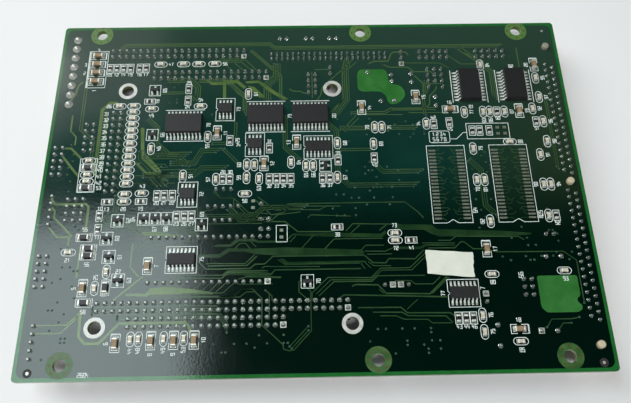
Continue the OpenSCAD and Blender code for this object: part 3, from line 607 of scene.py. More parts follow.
for kind in ("wide_chip", "logic_chip", "amplifier_chip", "transistor"):
    boxes = solids(kind + "_leads")
    size, middle = (boxes[:, 1] - boxes[:, 0])[:, :2], boxes.mean(1)[:, :2]
    turn, step = heading(middle, middles(kind + "s"), size[:, 0] > size[:, 1])
    toe = middle + step * size.max(1)[:, None] / 2
    back, half = 0.2, (0.75, 0.33)                  # the land's middle lies this far behind the toe
    solder_on(rectangle(-back, 0, *half), toe - step * back, half, toe, heap(0.42, 0.32, 0.22),
              toe, turn)
build("part_lands", join(land_shapes), TIN)
build("solder_heaps", join(heap_shapes), BRIGHT_HEAP, smooth=True)

# %% [markdown]
# ## Joints of the pins
# Wave solder wets the round land, draws up the pin in a hollow cone and leaves the pin's end just
# showing. It is a profile of six radii turned about the pin. Ten sides are enough, because there
# are about five hundred of them.

# %% Solder cones
def cone(land, neck, height, sides=10):
    """Profile turned about the pin: flat land, hollow flank, narrow neck."""
    z = np.array([-0.02, 0.06, 0.12, 0.4, 0.8, 0.86]) * height
    r = np.array([land, land, 0.8 * land, neck + 0.22 * (land - neck), neck, 0.6 * neck])
    return turned(np.c_[r, z + TOP], sides, math.pi / sides)


cones = []
# columns: pin tails, radius of the land, radius of the neck, height
for tails, land, neck, height in (
    ("bus_pin_tails", 0.84, 0.4, 0.95), ("header_pin_tails", 0.7, 0.39, 0.95),
    ("fine_pin_tails", 0.5, 0.33, 0.85), ("memory_pin_tails", 0.62, 0.33, 0.75),
    ("flash_pin_tails", 0.74, 0.38, 0.9), ("leaded_part_tails", 0.84, 0.38, 0.9),
):
    spot = middles(tails)
    cones.append(spread(cone(land, neck, height), spot))
    keep_off.append(np.concatenate([spot - land, spot + land], 1))
build("solder_cones", join(cones), SOLDER, smooth=True)

spot = middles("power_joints")
POWER_R = np.array([1.5, 1.48, 1.25, 0.98, 0.8, 0.55, 0.2])
POWER_Z = np.array([-0.02, 0.05, 0.2, 0.55, 0.95, 1.2, 1.3]) + TOP
build("power_cones", spread(turned(np.c_[POWER_R, POWER_Z], 20), spot), SATIN_SOLDER,
      ["power_joints"], smooth=True)
keep_off += [np.concatenate([spot - POWER_R[0], spot + POWER_R[0]], 1),
             footprints("memory_chip_lands", "spare_lands")]
KEEP = np.concatenate(keep_off)
print("places that print keeps off:", len(KEEP))

# %% [markdown]
# ## Copper under the lacquer
# Tracks are etched copper, a few hundredths of a millimetre proud, and the lacquer over them looks
# lighter than over bare board. A track is a strip carried along its path, and a bus is one path
# repeated side by side: each copy is the path moved along its own corner normals. A path is
# written as x,y pairs in mm, after the numbers that go with it.

# %% Track paths, in mm
def read(text):
    """'0.4 1,2 3,4' gives its plain numbers and its path: [0.4] and the array of pairs."""
    words = text.split()
    return ([float(w) for w in words if "," not in w],
            np.array([w.split(",") for w in words if "," in w], float))


# broad power tracks: width, path
POWER = [
    "0.8 -88,-4.8 -86.5,-7.2 -76.2,-7.2 -75.2,-8.2 -75.2,-17.3",
    "0.7 -87.3,-8.3 -86.2,-9.6 -86.2,-11.9 -79.3,-18.8",
    "0.7 -87.3,-15.5 -84.3,-18.9 -80.3,-18.9 -80.3,-21.8",
    "0.45 -87.6,-47.9 -77.5,-47.9 -74.6,-44.9",
    "0.45 -87.6,-50.4 -79,-50.4 -75.2,-46.5 -74.2,-44.3",
    "0.9 -73.6,-43.7 -73.3,-51.6 -71.2,-53.8 -67,-53.8 -61.2,-47.7 -40.8,-47.7 -39.2,-49.5 "
    "-39.2,-51",
    "0.6 -76.2,-22.4 -76.2,-32.8",
    "0.5 -59.4,-21.3 -59.4,-29.5 -56.4,-32.8",
    "0.6 -55.2,-32.8 -63.6,-40.1 -63.6,-42.1",
    "0.6 -87,32.2 -85,35.4 -84.2,39.5 -82.8,41",
    "0.8 -86,13.8 -83.7,13.8 -79.9,9.9",
    "0.8 -86.2,10.7 -81.8,5.2 -79.6,2.7",
    "1.2 -74.6,3.6 -74.6,29.1 -72,31.9 -69.4,31.9",
    "0.7 -72.6,2.1 -72.6,28.1",
    "0.5 -84.8,27 -84.8,20.8 -82.6,18.3 -82.6,15.1",
]
# buses: lanes, mm between them, width, path
RUNS = [
    "1 1 0.36 55.9,-25.3 59.3,-26.3 65,-26.4 81,-26.5 84.8,-29.6 84.8,-43.7",
    "2 0.7 0.4 -22,53.6 -11.2,42.6 -11.2,33.3",
    "3 0.62 0.32 -41,40.8 -31,40.8 -24,33.9 -24,28.1",
    "1 1 0.5 21,47.2 23,48.4 28.4,48.4 29.6,51.4 30.6,52.4 35,52.4 36.2,51.2",
    "1 1 0.42 26.3,47 28.8,45.7 35.4,45.7 37.6,43.6 43.8,43.6 45,42.2",
    "3 0.7 0.3 -36,-12.4 -20,-12.4 -16.8,-9.4 -4,-9.4",
    "4 0.7 0.28 -58,10.4 -47,10.4 -44,7.3",
    "2 0.7 0.3 84.2,31.2 84.2,4.2",
    "3 0.75 0.28 -66,-4.2 -66,-9.4 -70,-13.5",
    "3 0.75 0.3 -34,49.5 -26,49.5",
    "3 0.8 0.3 -52,41.2 -44,41.2 -41,38.1 -41,34.7",
    "3 0.62 0.3 -70.5,54.7 -68.6,56.6 -15.4,56.6 -13.4,54.8 70,54.8",
    "6 0.75 0.3 -71,-14.6 -61.5,-14.6 -58.5,-16.2 -42,-16.2 -39,-17.9",
    "4 0.8 0.3 -70,-43.6 -40,-43.6 -31,-43.9",
    "3 0.6 0.26 -62,-45.9 -30,-45.9 -28.4,-47.8 -28.4,-49.3",
    "3 0.75 0.3 -28.4,-9.6 -24.6,-13.7 -16,-13.7",
    "1 1 0.35 -31,-39.7 -26,-39.7 -23.6,-37.4 -20,-37.4 -17,-40.6 -17,-48.9 -10.4,-55.1 "
    "-10.2,-56.5 -8.5,-57 -7,-56.8 -1.6,-51 -1.6,-38.5 -4.6,-35.4",
    "2 0.9 0.28 -8,-56 -2.8,-50.5",
    "1 1 0.35 -15.9,-37.9 -14.7,-39.1 -14.7,-47.2",
    "1 1 0.35 71.8,-51.2 73.6,-48.7 80,-48.7 82.4,-48.2",
    "1 1 0.35 75.4,-51.9 77,-50 79.6,-50",
    "4 0.8 0.3 -12.6,47.8 -12.6,42.2 -16,38.7 -16,32.9",
    "4 0.75 0.3 13.6,49.5 12.4,44.7 12.4,32.2 8.4,26.4",
    "5 0.95 0.32 -60.2,12.5 -60.2,9.2 -51.6,0.4",
    "3 0.8 0.3 -49,7.5 -41,7.5 -38.4,12.3 -33.6,12.3",
    "2 0.8 0.3 -31,12.7 -25,6.4",
    "3 0.8 0.3 -58,3.1 -40.6,3.1 -38,5.6 -31,5.6",
    "3 0.7 0.28 10,20.4 24,20.4 36,20.4",
    "2 0.8 0.3 14,26.6 26,26.6 28,27.9 44,27.9",
    "2 0.8 0.3 10,11.9 20,11.9",
    "3 0.7 0.28 20,7.5 24,3.3 36,3.3",
    "3 0.7 0.28 55,54.1 60.4,49.3 66,43.3 66,33.3",
    "1 1 0.4 76.7,53.9 76.7,45.3",
    "2 0.8 0.3 41.6,39.7 41.6,35.6 40.2,33.3 40.2,26",
    "3 0.75 0.3 54,7.3 57.6,3.3 57.6,-9.8 60,-12.5",
    "2 0.8 0.3 -56,35.8 -45,35.8 -42,32.9",
    "3 0.75 0.3 -58,25 -54.4,21.4 -54.4,15.2 -50,11 -44,11",
    "2 0.8 0.3 -35,15 -30,15 -27,17.9 -27,22.9",
    "3 0.7 0.3 -9.6,25.6 -9.6,13.1 -6,9.4",
    "3 0.75 0.3 3,25 8.4,19.3 8.4,2.1 12,-1.7 34,-1.7",
    "2 0.8 0.3 -81.4,41.6 -81.4,21.3 -76.4,16.6 -76.4,10.4",
]
# single tracks: width, path
LINES = [
    "0.4 -24.7,-11.2 -22,-14.3 -9.8,-14.6 -5.5,-18.2 6.7,-18.4",
    "0.3 -36.5,-15 -17.4,-15.1",
    "0.35 -8.8,-20.7 -7.2,-19.2",
    "0.3 -8.1,-21.8 -6.2,-19.7",
    "0.3 -4.2,-23.9 -0.6,-19.8",
    "0.35 3.2,-24.4 6.3,-21 9.9,-20.9 22.4,-21",
    "0.35 10.3,-18.3 12.7,-15.7 27.6,-16.1",
    "0.3 11.9,-19 15,-16.2",
    "0.4 21.5,-18.1 24,-16.1",
    "0.3 -26,-23.7 -24.4,-22 -22.5,-22 -20.8,-24.3",
    "0.3 -20.9,-21.4 -19.2,-23.3",
    "0.42 -38.1,-27.5 -35.1,-30.6 -21,-30.6 -19.4,-29.2 -16.2,-29.1 -13.7,-26.6 15.9,-26.7 "
    "18.7,-29.3 22.9,-29.4 23.9,-28 32.4,-28.2 35.5,-25.2",
    "0.4 -34.5,-29.5 -22,-29.5 -18.8,-26.4",
    "0.3 -35.2,-28.7 -22.6,-28.9 -19.5,-25.9",
    "0.3 -17.2,-30.5 -16.2,-30 1.5,-30.3",
    "0.25 -12,-27.7 -9.8,-29.4 14.4,-29.4",
    "0.25 -11.2,-27.5 -9.1,-29.3",
    "0.25 -10.4,-27.6 -8.5,-29.1",
    "0.3 16.1,-29.1 17.9,-31.1",
    "0.3 14.8,-29.4 16,-31.3",
    "0.3 17.1,-28.9 18.9,-30.3 24.4,-30.4",
    "0.42 -46.8,-32.2 -46.4,-33.4 -29.9,-33.7 -28,-31.8 -18.4,-31.9 -17.1,-32.6 -14.2,-32.7 "
    "-13,-31.2 14.7,-31.2",
    "0.35 -44.6,-32.4 -29.9,-32.7 -28,-31.3 -17.1,-31.3 -15.2,-31.5",
    "0.6 -22.2,-33.2 -11,-33.7",
    "0.3 -24.7,-34.1 -22.2,-33.4",
    "0.3 -36.1,-35.1 -38.9,-37.3",
    "0.3 -33.6,-35.1 -36.3,-38",
    "0.3 -31.1,-35.2 -33.8,-38.1",
    "0.3 -28.5,-35.2 -31.9,-38.4",
    "0.3 -26,-35.3 -29.4,-38.5 -42.9,-38.5",
    "0.3 -25.4,-34.9 -24.4,-35.8 -13.6,-35.8",
    "0.32 -42.9,-39.3 -26.2,-39.7 -23.7,-37.4 -20.2,-37.3",
    "0.3 -52.3,-39.1 -42.8,-39.7 -24,-39.9 -22.1,-38.3 -19.3,-38.3",
    "0.3 -54.9,-33.9 -49.5,-34.2 -47.8,-35.7 -42.4,-36.4",
    "0.4 -59.3,-24.3 -57.6,-21.9 -54.9,-19.5 -53.3,-19.2",
    "0.35 -57.6,-25 -56.5,-22.6 -54.7,-21.6 -51.2,-21",
    "0.3 -55.7,-24.3 -54.3,-22.6 -48.5,-22.4",
    "0.3 -53.5,-24.2 -49.6,-24.3 -48.2,-25.5",
    "0.35 -44.5,-22.8 -43,-21.1 -38.8,-21 -37.9,-19.8",
    "0.35 -1.2,-39 4,-34 17.8,-34.3 21.1,-31.2 30.5,-31.2 36.5,-25.7",
    "0.3 0.1,-39.4 4.9,-34.8 17.7,-35 21.4,-31.9 31.1,-31.9 36.7,-26.7",
    "0.35 1,-40 5.9,-35.4 18,-35.5 20,-33.7 35.1,-33.8",
    "0.45 11.6,-37 12.9,-36.5 19.9,-36.7 22.3,-39.5 36.2,-39.9 42.2,-34.3",
    "0.3 20.1,-38.1 21.6,-39.5",
    "0.45 7.9,-40.5 8.9,-39.8 26.7,-40.4 41.5,-41",
    "0.3 -5.3,-35 -5.3,-38.6 -3.1,-40.6",
    "0.5 -1.2,-39 -1.3,-41.6",
    "0.3 -15.1,-38.4 -13.9,-39.7 -13.8,-41.4",
    "0.3 16.3,-25.3 22.8,-25.5 26.1,-24.1",
    "0.3 16.9,-26.4 25,-26.4",
    "0.3 15,-25 16.7,-23.3 22.6,-23.4",
    "0.35 40.4,-22 44.4,-22.1 46.5,-20.7 67,-21.1 68.8,-22.3",
    "0.25 35.1,-22.8 45.9,-23",
    "0.35 36.9,-24.6 45.7,-24.7 47.9,-22.6 48.9,-22.7 51.6,-25.1 55.2,-25.2",
    "0.3 36.9,-39.8 42.8,-34.6",
    "0.3 25.4,-35.4 30.5,-35.5 31.7,-36.6 37.5,-36.7 39.9,-34.4",
    "0.4 13.2,-44 26.7,-44.1 28.5,-45.9 42,-46.1 43.5,-47.3",
    "0.35 17.8,-45.5 26.9,-45.7 28.7,-46.8 40.6,-47.1 42.6,-49.2",
    "0.3 20,-46.7 25,-46.8 27.4,-47.9 34.9,-48.1 36.1,-49.2 42.3,-49.3",
    "0.25 32.3,-41.6 30.3,-43.2 28.6,-44.8",
    "0.3 -61.2,0.2 -54.5,0.1 -51.9,-2",
    "0.3 -33.7,-2.7 -31.3,-5.7 -27.2,-5.8",
    "0.25 -37.3,-11.7 -36.1,-10.3 -34.1,-10 -32.8,-9.1",
    "0.25 -38.6,-13 -24.7,-12.9",
    "0.3 -26.9,-6.1 -26.8,-9.8 -25.1,-11.6",
    "0.35 -39,-8.1 -38.7,-13.1",
    "0.3 -56,7.3 -50.9,7.2 -49.8,5.8",
    "0.3 -54.3,6.1 -50.5,6",
    "0.35 -52.5,5.1 -39.5,5.1",
    "0.35 -52.4,4 -48.3,3.7",
    "0.35 -52.3,3 -47.2,2.8",
    "0.4 -60.8,3 -54,2.9 -49.6,-1.3",
    "0.35 -53,3.6 -48.7,-0.2",
    "0.35 -60.8,0 -54.8,0.1 -51.9,-2",
    "0.3 -50.3,-0.9 -49.4,0 -47,0.1",
    "0.3 -33.1,49.8 -27,42.7",
    "0.3 -30.5,50.7 -24.1,44.4",
    "0.3 -27.6,50.6 -21.5,44.8",
    "0.3 -25,50.6 -19.7,44.8",
    "0.3 -30.1,38.9 -26,34.6",
    "0.4 -8,36.9 -6.9,36 -4,35.8 -3,35.1 -1.2,35.1",
    "0.3 1.2,45.1 6.3,45.1",
    "0.35 0.2,44.1 0.2,33",
    "0.35 14.9,48.7 10.3,43.9 3.9,37.6 3.2,34.2 2,32.1",
    "0.3 16.7,48.2 11.4,43",
    "0.3 6.2,26.6 11.4,32.4",
    "0.3 10.6,19.7 15.8,25.7",
    "0.3 11.3,18.9 16.5,24.4",
    "0.3 19,25.8 32.2,25.6",
    "0.4 27.7,27.1 29.2,28.1 40.6,28 42.2,29.8 42.5,33.2 44.9,35.7 45.4,37.4",
    "0.3 34.4,26.4 48.4,26.2",
    "0.45 37.4,42.2 40.6,38.5 40.3,34.9",
    "0.3 40.8,38.5 47,38.4",
    "0.3 55.9,53.4 59.6,49.4",
    "0.3 51.1,50.4 55.2,46.8 60.8,46.7",
    "0.25 34.5,47.5 47.5,47.3 50.6,45.1",
    "0.35 -18.8,-5.6 -12.8,-10.4 -11,-10.4 -8.8,-8.2 30.4,-8.1 34.6,-11.8 36.4,-14.1",
    "0.35 -19.5,-6.8 -14.3,-12.1 -10.2,-11.4 -8.4,-9.4 -3.6,-9.1 8.9,-9.3",
    "0.3 -26.1,-7.9 -21.9,-12.7 -17.4,-14.5",
    "0.3 -2.2,-13.4 -1.1,-12.3 12.1,-13",
    "0.3 -15,-14.8 -12.1,-12.1 -4.5,-11.2",
    "0.3 -34,-3.3 -31.3,-5.8 -26.9,-5.9 -22,-11.1 -15.4,-11.7",
    "0.3 -9.5,-10.3 1.9,-10.5 3.9,-9.4",
]
# areas of copper, clockwise
BANDS = [
    "-38.2,-25.5 -31.1,-25.6 -28.3,-23.6 -21.1,-23.9 -9.8,-23.6 3.3,-24.2 15.3,-24.8 16.2,-25.7 "
    "15.5,-26.5 4.8,-26.7 -8.2,-26.6 -18.8,-25.8 -22.7,-24.9 -27.9,-24.8 -30.8,-26.8 -38.2,-26.7",
    "-33.5,-23 -31.6,-22.2 -27.7,-22.3 -25.8,-20.4 -19.6,-20.5 -18.3,-21.2 -10.4,-21.2 "
    "-10.4,-21.9 -18.6,-21.9 -19.9,-21.4 -24.8,-21.3 -27.3,-23.1",
    "-7.1,-18.9 8.3,-18.9 21.8,-19.4 23.2,-18.3 23.8,-19.1 22.1,-20.6 8.3,-20.3 -4.9,-19.6 "
    "-7.2,-19.4",
    "-10.1,-28.6 1.5,-28.6 16.4,-28.6 16.4,-29.1 4.7,-29.5 -9.8,-29.6",
    "-29.9,-33 -28,-31.3 -17.1,-31.6 -14.2,-32.3 -14.6,-33 -17.8,-33.3 -24.2,-32.7 -27,-32.6",
    "26.6,-16.1 38.9,-16.5 40.4,-18.1 61.3,-19 71.4,-19.9 71.4,-20.5 61,-21 41.2,-20.6 38,-19.5 "
    "36.1,-18.2 26.5,-18",
    "26.1,-24 34.3,-24.1 36,-23.2 45.9,-23.4 45.8,-24 36.6,-23.8 34.6,-24.9 26.1,-24.8",
]
# areas of copper as pale as the power tracks, clockwise
OLIVE_BANDS = [
    "-60.2,-38.2 -53.9,-38.3 -52.5,-36.6 -46.8,-36.2 -38.3,-37.2 -31.9,-38.4 -32.8,-38.9 "
    "-42.9,-38.7 -52.3,-38.7 -53.2,-39.3 -60.1,-39",
    "-57,-17.4 -49.1,-17.7 -47.1,-18.6 -44.8,-18.5 -44.1,-19 -47.4,-19.3 -49.4,-18.9 -56.2,-18.6",
    "-38.2,41.6 -35.9,40.1 -32.1,40 -32.2,41.1 -31.1,41.1 -26.9,41.1 -23.6,38 -24.6,37.1 "
    "-27.2,39.7 -31,39.2 -30.8,33 -31.9,33 -32.1,39 -36.3,39 -38.5,41",
    "-24,40.3 -19.3,40.7 -17.5,39.6 -13.4,36.1 -8.4,32.7 -10.2,32.3 -15.2,35.7 -19.3,39.6 "
    "-23.6,39.5",
    "-23.2,38.4 -20.7,37.9 -16.7,33.6 -18.8,33.3",
    "-60.4,21.6 -59.1,21.6 -58.3,11.7 -56.3,9.8 -53.2,6.3 -51.7,4 -53.3,3.2 -55.2,5.2 -59.4,10.2",
    "-60.6,8.3 -57.2,4.4 -53.1,4.2 -53,3.4 -57.4,3.5 -60.8,7.5",
]
print(len(RUNS), "buses,", len(LINES), "single tracks and", len(POWER), "power tracks")

# %% Tracks
paths, via_spots = [], []
for (count, pitch, base), path in map(read, RUNS):
    for k in range(int(count)):
        lane = beside(path, (k - (count - 1) / 2) * pitch)
        # the lanes of a bus differ a little in width and in where they end
        width = base * (0.72 + 0.14 * ((k * 7 + len(path)) % 5)) if count > 2 else base
        tip = lane[-1] - lane[-2]
        lane[-1] += tip / np.linalg.norm(tip) * 0.9 * (k % 3)
        paths.append((lane, width))
        via_spots += [lane[0], lane[-1]]
# every land of the empty footprints has a short escape, outwards from its row
for k, (x, y) in enumerate(middles("memory_chip_lands")):
    way = 1 if (x < 46 or 57 < x < 68) else -1
    reach = 1.9 + 0.55 * ((k * 5) % 4)
    drop = 0.9 * (1 if k % 3 else -1)
    escape = [(x, y), (x + way * reach, y), (x + way * (reach + 0.9), y + drop)]
    paths.append((np.array(escape), 0.18))
paths += [(path, width) for (width,), path in map(read, LINES)]
# thin escapes between the two pin columns at the left
for y in 28 - 2.54 * np.arange(12):
    paths.append((np.array([(-70.6, y), (-68.9, y - 0.8), (-66.4, y - 3.2)]), 0.17))
    paths.append((np.array([(-68.0, y), (-67.3, y - 0.3), (-65.8, y - 1.8)]), 0.17))
build("tracks", join(ribbon(p, w, SUNK, TOP + 0.03) for p, w in paths), TRACK)
dull, olive = ([plate(read(band)[1][::-1], SUNK, TOP + rise) for band in bands]
               for bands, rise in ((BANDS, 0.022), (OLIVE_BANDS, 0.024)))
build("track_bands", join(dull), DULL_TRACK)
power = [ribbon(path, width, SUNK, TOP + 0.035) for (width,), path in map(read, POWER)]
build("power_tracks", join(power + olive), POWER_TRACK)

# %% [markdown]
# A via is a tiny plated hole that joins the layers. From above it is a low ring, and its bore is a
# dark disc on top: painted shade where the hole goes down.
# There are hundreds, so each is eight-sided.

# %% Vias
VIA_GRID, VIA_FIELD = 1.27, 16     # mm between the grid's lines, and mm2 of a field for each via
rng = np.random.default_rng(7)
# fields of scattered vias: x from, x to, y from, y to
for x0, x1, y0, y1 in ((-36, -30, 20, 34), (-58, -42, 30, 40), (4, 30, -13, 6), (16, 40, -60, -50),
                       (-44, -8, -58, -52), (-84, -76, -60, 20), (54, 62, -20, 12),
                       (60, 84, -30, -18), (-60, -44, 2, 12), (0, 40, 14, 24)):
    n = int((x1 - x0) * (y1 - y0) / VIA_FIELD) + 3
    scattered = np.c_[rng.uniform(x0, x1, n), rng.uniform(y0, y1, n)]
    via_spots += list(np.round(scattered / VIA_GRID) * VIA_GRID)
via_spots = np.unique(np.round(np.array(via_spots), 2), axis=0)


def inside(spots, boxes, gap):
    """Which spots lie in one of the flat boxes, each made larger by the gap."""
    low, high = boxes[:, :2] - gap, boxes[:, 2:] + gap
    return ((spots[:, None] > low) & (spots[:, None] < high)).all(2).any(1)


HOLES = np.array([(x, y) for x in (-78.1, 18.7, 77.6) for y in (-60.2, 61.4)])
HOLE_R, RING_R = 2.0, 4.1
bodies = footprints("wide_chips", "logic_chips", "amplifier_chips", "transistors",
                    "large_capacitors", "small_capacitors", "resistors", "ferrite_beads",
                    "standoff_lands", "paper_label")
round_holes = np.concatenate([HOLES - RING_R - 0.1, HOLES + RING_R + 0.1], 1)
FULL = np.concatenate([KEEP, bodies, round_holes])
via_spots = via_spots[~inside(via_spots, FULL, 0.45)]
ring = turned([(0.4, SUNK), (0.39, TOP + 0.045), (0.22, TOP + 0.055), (0.18, TOP + 0.04)], 8)
build("via_rings", spread(ring, via_spots), VIA, smooth=True)
# dark finish for the targets' own dark rings, and painted shade for the via bores
DARK_RING_AND_BORE_SHADE = finish("dark_ring_and_bore_shade", (26, 22, 20), (44, 38, 34), 0.3, (0.5, 0.7), 0.0, 0.1, 0.1)
# the bore is a dark disc over the hole: painted shade
dot = turned([(0.17, TOP), (0.16, TOP + 0.06)], 8)
build("via_bore_shade", spread(dot, via_spots), DARK_RING_AND_BORE_SHADE)

# %% [markdown]
# The six fixing holes wear a broad green ring stitched with eight vias, and two areas are left
# without inner copper, where the bare laminate shines through in a lighter green. Small bright
# targets in the corners show the machine that places the parts where the board lies.

# %% Rings and bare patches
RING_END = 64.7                # the back rings are cut by the edge of the board


def hole_rings(name, z0, z1):
    """A ring round each fixing hole on one face of the board."""
    points, faces = spread(washer(HOLE_R, RING_R, z0, z1, 64), HOLES)
    points[:, 1] = np.minimum(points[:, 1], RING_END)
    build(name, (points, faces), RING)


hole_rings("hole_rings", SUNK, TOP + 0.04)
angle = np.radians(np.arange(8) * 45)
around = 3.15 * np.stack([np.cos(angle), np.sin(angle)], -1)
RUST = finish("bare_copper_via", (96, 60, 44), (132, 84, 60), 0.4, (0.3, 0.5), 0.6, 0.1, 0.1)
stitch = turned([(0.36, TOP), (0.34, TOP + 0.07), (0.15, TOP + 0.05)], 10)
build("ring_vias", spread(stitch, (HOLES[:, None] + around[None]).reshape(-1, 2)), RUST)


def rounded(corners, radius, steps=6):
    """Each corner b of a polygon becomes a short curve between its two shortened sides:
    (1-t)^2 a + 2t(1-t) b + t^2 c."""
    corners = np.asarray(corners, float)
    out = []
    t = np.linspace(0, 1, steps)[:, None]
    for before, here, after in zip(np.roll(corners, 1, 0), corners, np.roll(corners, -1, 0)):
        a, c = (here + (other - here) * min(0.5, radius / np.linalg.norm(other - here))
                for other in (before, after))
        out.append((1 - t) ** 2 * a + 2 * t * (1 - t) * here + t ** 2 * c)
    return np.concatenate(out)


patches = [plate(rounded(read(corners)[1], radius), SUNK, TOP + 0.012) for corners, radius in (
    ("16.7,36.4 18,35.4 25,35.4 27,33.2 27.2,31 28.6,29.7 31.5,30.6 33.6,33 33.7,35.4 32,38 "
     "29.5,38.2 28,39.6 28,42.8 27,44.9 17.6,44.9 16.7,42.8", 1.2),
    ("71,-34.6 84,-34.6 84,-41.4 82.7,-42.2 82.9,-43.6 84,-44.2 84,-45.6 82.6,-46.6 72.6,-46.6 "
     "71,-45", 0.9))]
build("bare_patches", join(patches), LAMINATE)

# %% Targets
target = washer(0.62, 1.35, TOP - 0.01, TOP + 0.02, 32)
bead = turned([(0.5, TOP - 0.01), (0.48, TOP + 0.04), (0.2, TOP + 0.05)], 16)
for x, y, ringed in ((-87.4, -62.4, True), (87.5, -62.3, True), (87.5, 61.2, False)):
    if ringed:
        build("target_ring_%d" % (x > 0), spread(target, (x, y)), DARK_RING_AND_BORE_SHADE)
    build("target_dot_%d%d" % (x > 0, y > 0), spread(bead, (x, y)), TIN)

# %% [markdown]
# Pin 1 of each connector stands in a square land, so that it can be found from this side.

# %% Square lands
FIRST_PINS = np.array([(-24.84, 51.35), (-16.46, 41.86), (33.3, 47.22), (10.04, -43.87),
                       (-10.28, -48.95), (-15.3, -34.89), (54.0, -40.1), (69.8, -52.3),
                       (24.7, -36.65), (27.2, -36.65)])
tails = np.concatenate([middles(n + "_tails") for n in ("bus_pin", "header_pin", "flash_pin",
                                                        "leaded_part")])
near = tails[np.linalg.norm(tails[None] - FIRST_PINS[:, None], axis=2).argmin(1)]
square = plate(rectangle(0, 0, 0.95, 0.95), SUNK, TOP + 0.07)
build("square_lands", spread(square, near), TIN)

# %% [markdown]
# ## White printing
# The outlines printed round each part are thin lines of ink. The printer leaves every solder land
# free, so each path is walked in small steps and only the stretches that lie clear of all lands
# are kept. The part numbers are plain running digits, each a few straight strokes.

# %% Print helpers
def clear_runs(path, closed, step=0.12, gap=0.14):
    """Cuts a path into the stretches whose points, a step apart, all keep the gap to every land."""
    path = np.asarray(path, float)
    if closed:
        path = np.concatenate([path, path[:1]])
    length = np.r_[0, np.cumsum(np.linalg.norm(np.diff(path, axis=0), axis=1))]
    s = np.unique(np.r_[length, np.linspace(0, length[-1], max(2, int(length[-1] / step)))])
    walk = np.c_[np.interp(s, length, path[:, 0]), np.interp(s, length, path[:, 1])]
    corner = np.isin(s, length)
    free = ~inside(walk, KEEP, gap)
    edges = np.flatnonzero(np.diff(np.r_[0, free.astype(int), 0]))
    runs = []
    for a, b in edges.reshape(-1, 2):
        keep = corner[a:b].copy()
        keep[[0, -1]] = True
        run = walk[a:b][keep]
        if b - a > 3 and len(run) > 1:
            runs.append(run)
    return runs


def put(path, x, y, upright=False):
    """A path drawn about the origin, moved to its place, with its x and y swapped if upright."""
    path = np.asarray(path, float)
    return (path[:, ::-1] if upright else path) + (x, y)


def stadium(half_l, half_w):
    """Two straight sides closed by half circles."""
    a = np.radians(np.linspace(-90, 90, 9))
    bend = np.c_[half_l - half_w + half_w * np.cos(a), half_w * np.sin(a)]
    return np.concatenate([bend, -bend])


DIGITS = {"0": "0,0 2,0 2,4 0,4 0,0", "1": "0,3 1,4 1,0", "2": "0,4 2,4 2,2 0,2 0,0 2,0",
          "3": "0,4 2,4 2,0 0,0;0.4,2 2,2", "4": "0,4 0,1.6 2,1.6;1.4,3 1.4,0",
          "5": "2,4 0,4 0,2.2 2,2.2 2,0 0,0", "6": "2,4 0,4 0,0 2,0 2,2 0,2",
          "7": "0,4 2,4 0.8,0", "8": "0,0 2,0 2,4 0,4 0,0;0,2 2,2",
          "9": "2,2 0,2 0,4 2,4 2,0 0,0"}


def number(text, x, y, height=1.2, upright=False):
    """Strokes of a number centred on a place; upright numbers read from below. A digit is four
    units high and two wide, and the next one starts three units on."""
    unit = height / 4
    wide = (len(text) * 3 - 1) * unit
    strokes = []
    for i, letter in enumerate(text):
        for stroke in DIGITS[letter].split(";"):
            p = read(stroke)[1] * unit + (i * 3 * unit - wide / 2, -height / 2)
            strokes.append((np.c_[-p[:, 1], p[:, 0]] if upright else p) + (x, y))
    return strokes


print("digit strokes:", sum(len(v.split(";")) for v in DIGITS.values()))

# %% Print round the parts
lines, marks = [], []          # (path, closed, width) and places that a number must not cover


def outline(path, closed=True, width=0.19):
    """Notes a line to print, and the box round it that the numbers stay clear of."""
    lines.append((path, closed, width))
    path = np.asarray(path)
    marks.append(np.r_[path.min(0), path.max(0)])


def hooks(a, b):
    """Two open brackets facing each other and, past the right one, the thick bar."""
    sides = [[(side * 0.7, b), (side * a, b), (side * a, -b), (side * 0.7, -b)] for side in (-1, 1)]
    return [(hook, False) for hook in sides] + [([(a + 0.2, -b), (a + 0.2, b)], False, 0.34)]


# what is printed round each kind of small part, drawn for one that lies along x
for kind, painted_light in (("small_capacitor", [(stadium(2.3, 1.14),)]),
                    ("resistor", [(rectangle(0, 0, 1.9, 1.05),)]),
                    ("large_capacitor", hooks(2.7, 1.42)),
                    ("ferrite_bead", [(rectangle(0, 0, 2.6, 1.3),)])):
    end_spots = middles(kind + "_ends")
    for spot in middles(kind + "s"):
        away = abs(end_spots - spot)[np.linalg.norm(end_spots - spot, axis=1).argmin()]
        for path, *how in painted_light:
            outline(put(path, *spot, away[1] > away[0]), *how)
for kind, hw, hh in (("amplifier_chips", 3.3, 4.6), ("logic_chips", 5.0, 4.5)):
    notched = [(-hw, -0.6), (-hw, -hh), (hw, -hh), (hw, hh), (-hw, hh), (-hw, 0.6), (-hw + 0.8, 0)]
    for spot in middles(kind):
        outline(notched + spot)
for low, high in solids("wide_chips"):
    (x, y), (w, h) = ((low + high) / 2)[:2], (high - low)[:2]
    for side in (-1, 1):
        out = side * (6.25 if w > h else 6.3)
        outline(put([(-6.9, out), (6.9, out)], x, y, w <= h), False, 0.22)
for x, y in middles("transistors"):
    outline(rectangle(x, y, 2.0, 2.2))
for cx in (46.1, 67.95):       # the two empty footprints, each with a dent at its front end
    outline([(cx - 1.9, -16), (cx, -14.8), (cx + 1.9, -16), (cx + 6.6, -16), (cx + 6.6, 12.9),
             (cx - 6.6, 12.9), (cx - 6.6, -16)])
outline(rectangle(-78, 46.3, 3.2, 7.9))
outline([(-81.6, 38.4), (-81.6, 54.2)], False, 0.4)
for box in ((-10.8, -18.8, 1.8, 2.9), (-77, 3.4, 2.9, 6.3), (61.8, 18.5, 7.5, 3.1)):
    outline(rectangle(*box))
outline(rounded(rectangle(44.5, 16.4, 3.6, 2.3), 0.9))
outline([(48.3, 15.5), (50.5, 15.5), (53, 18), (54.3, 18)], False)

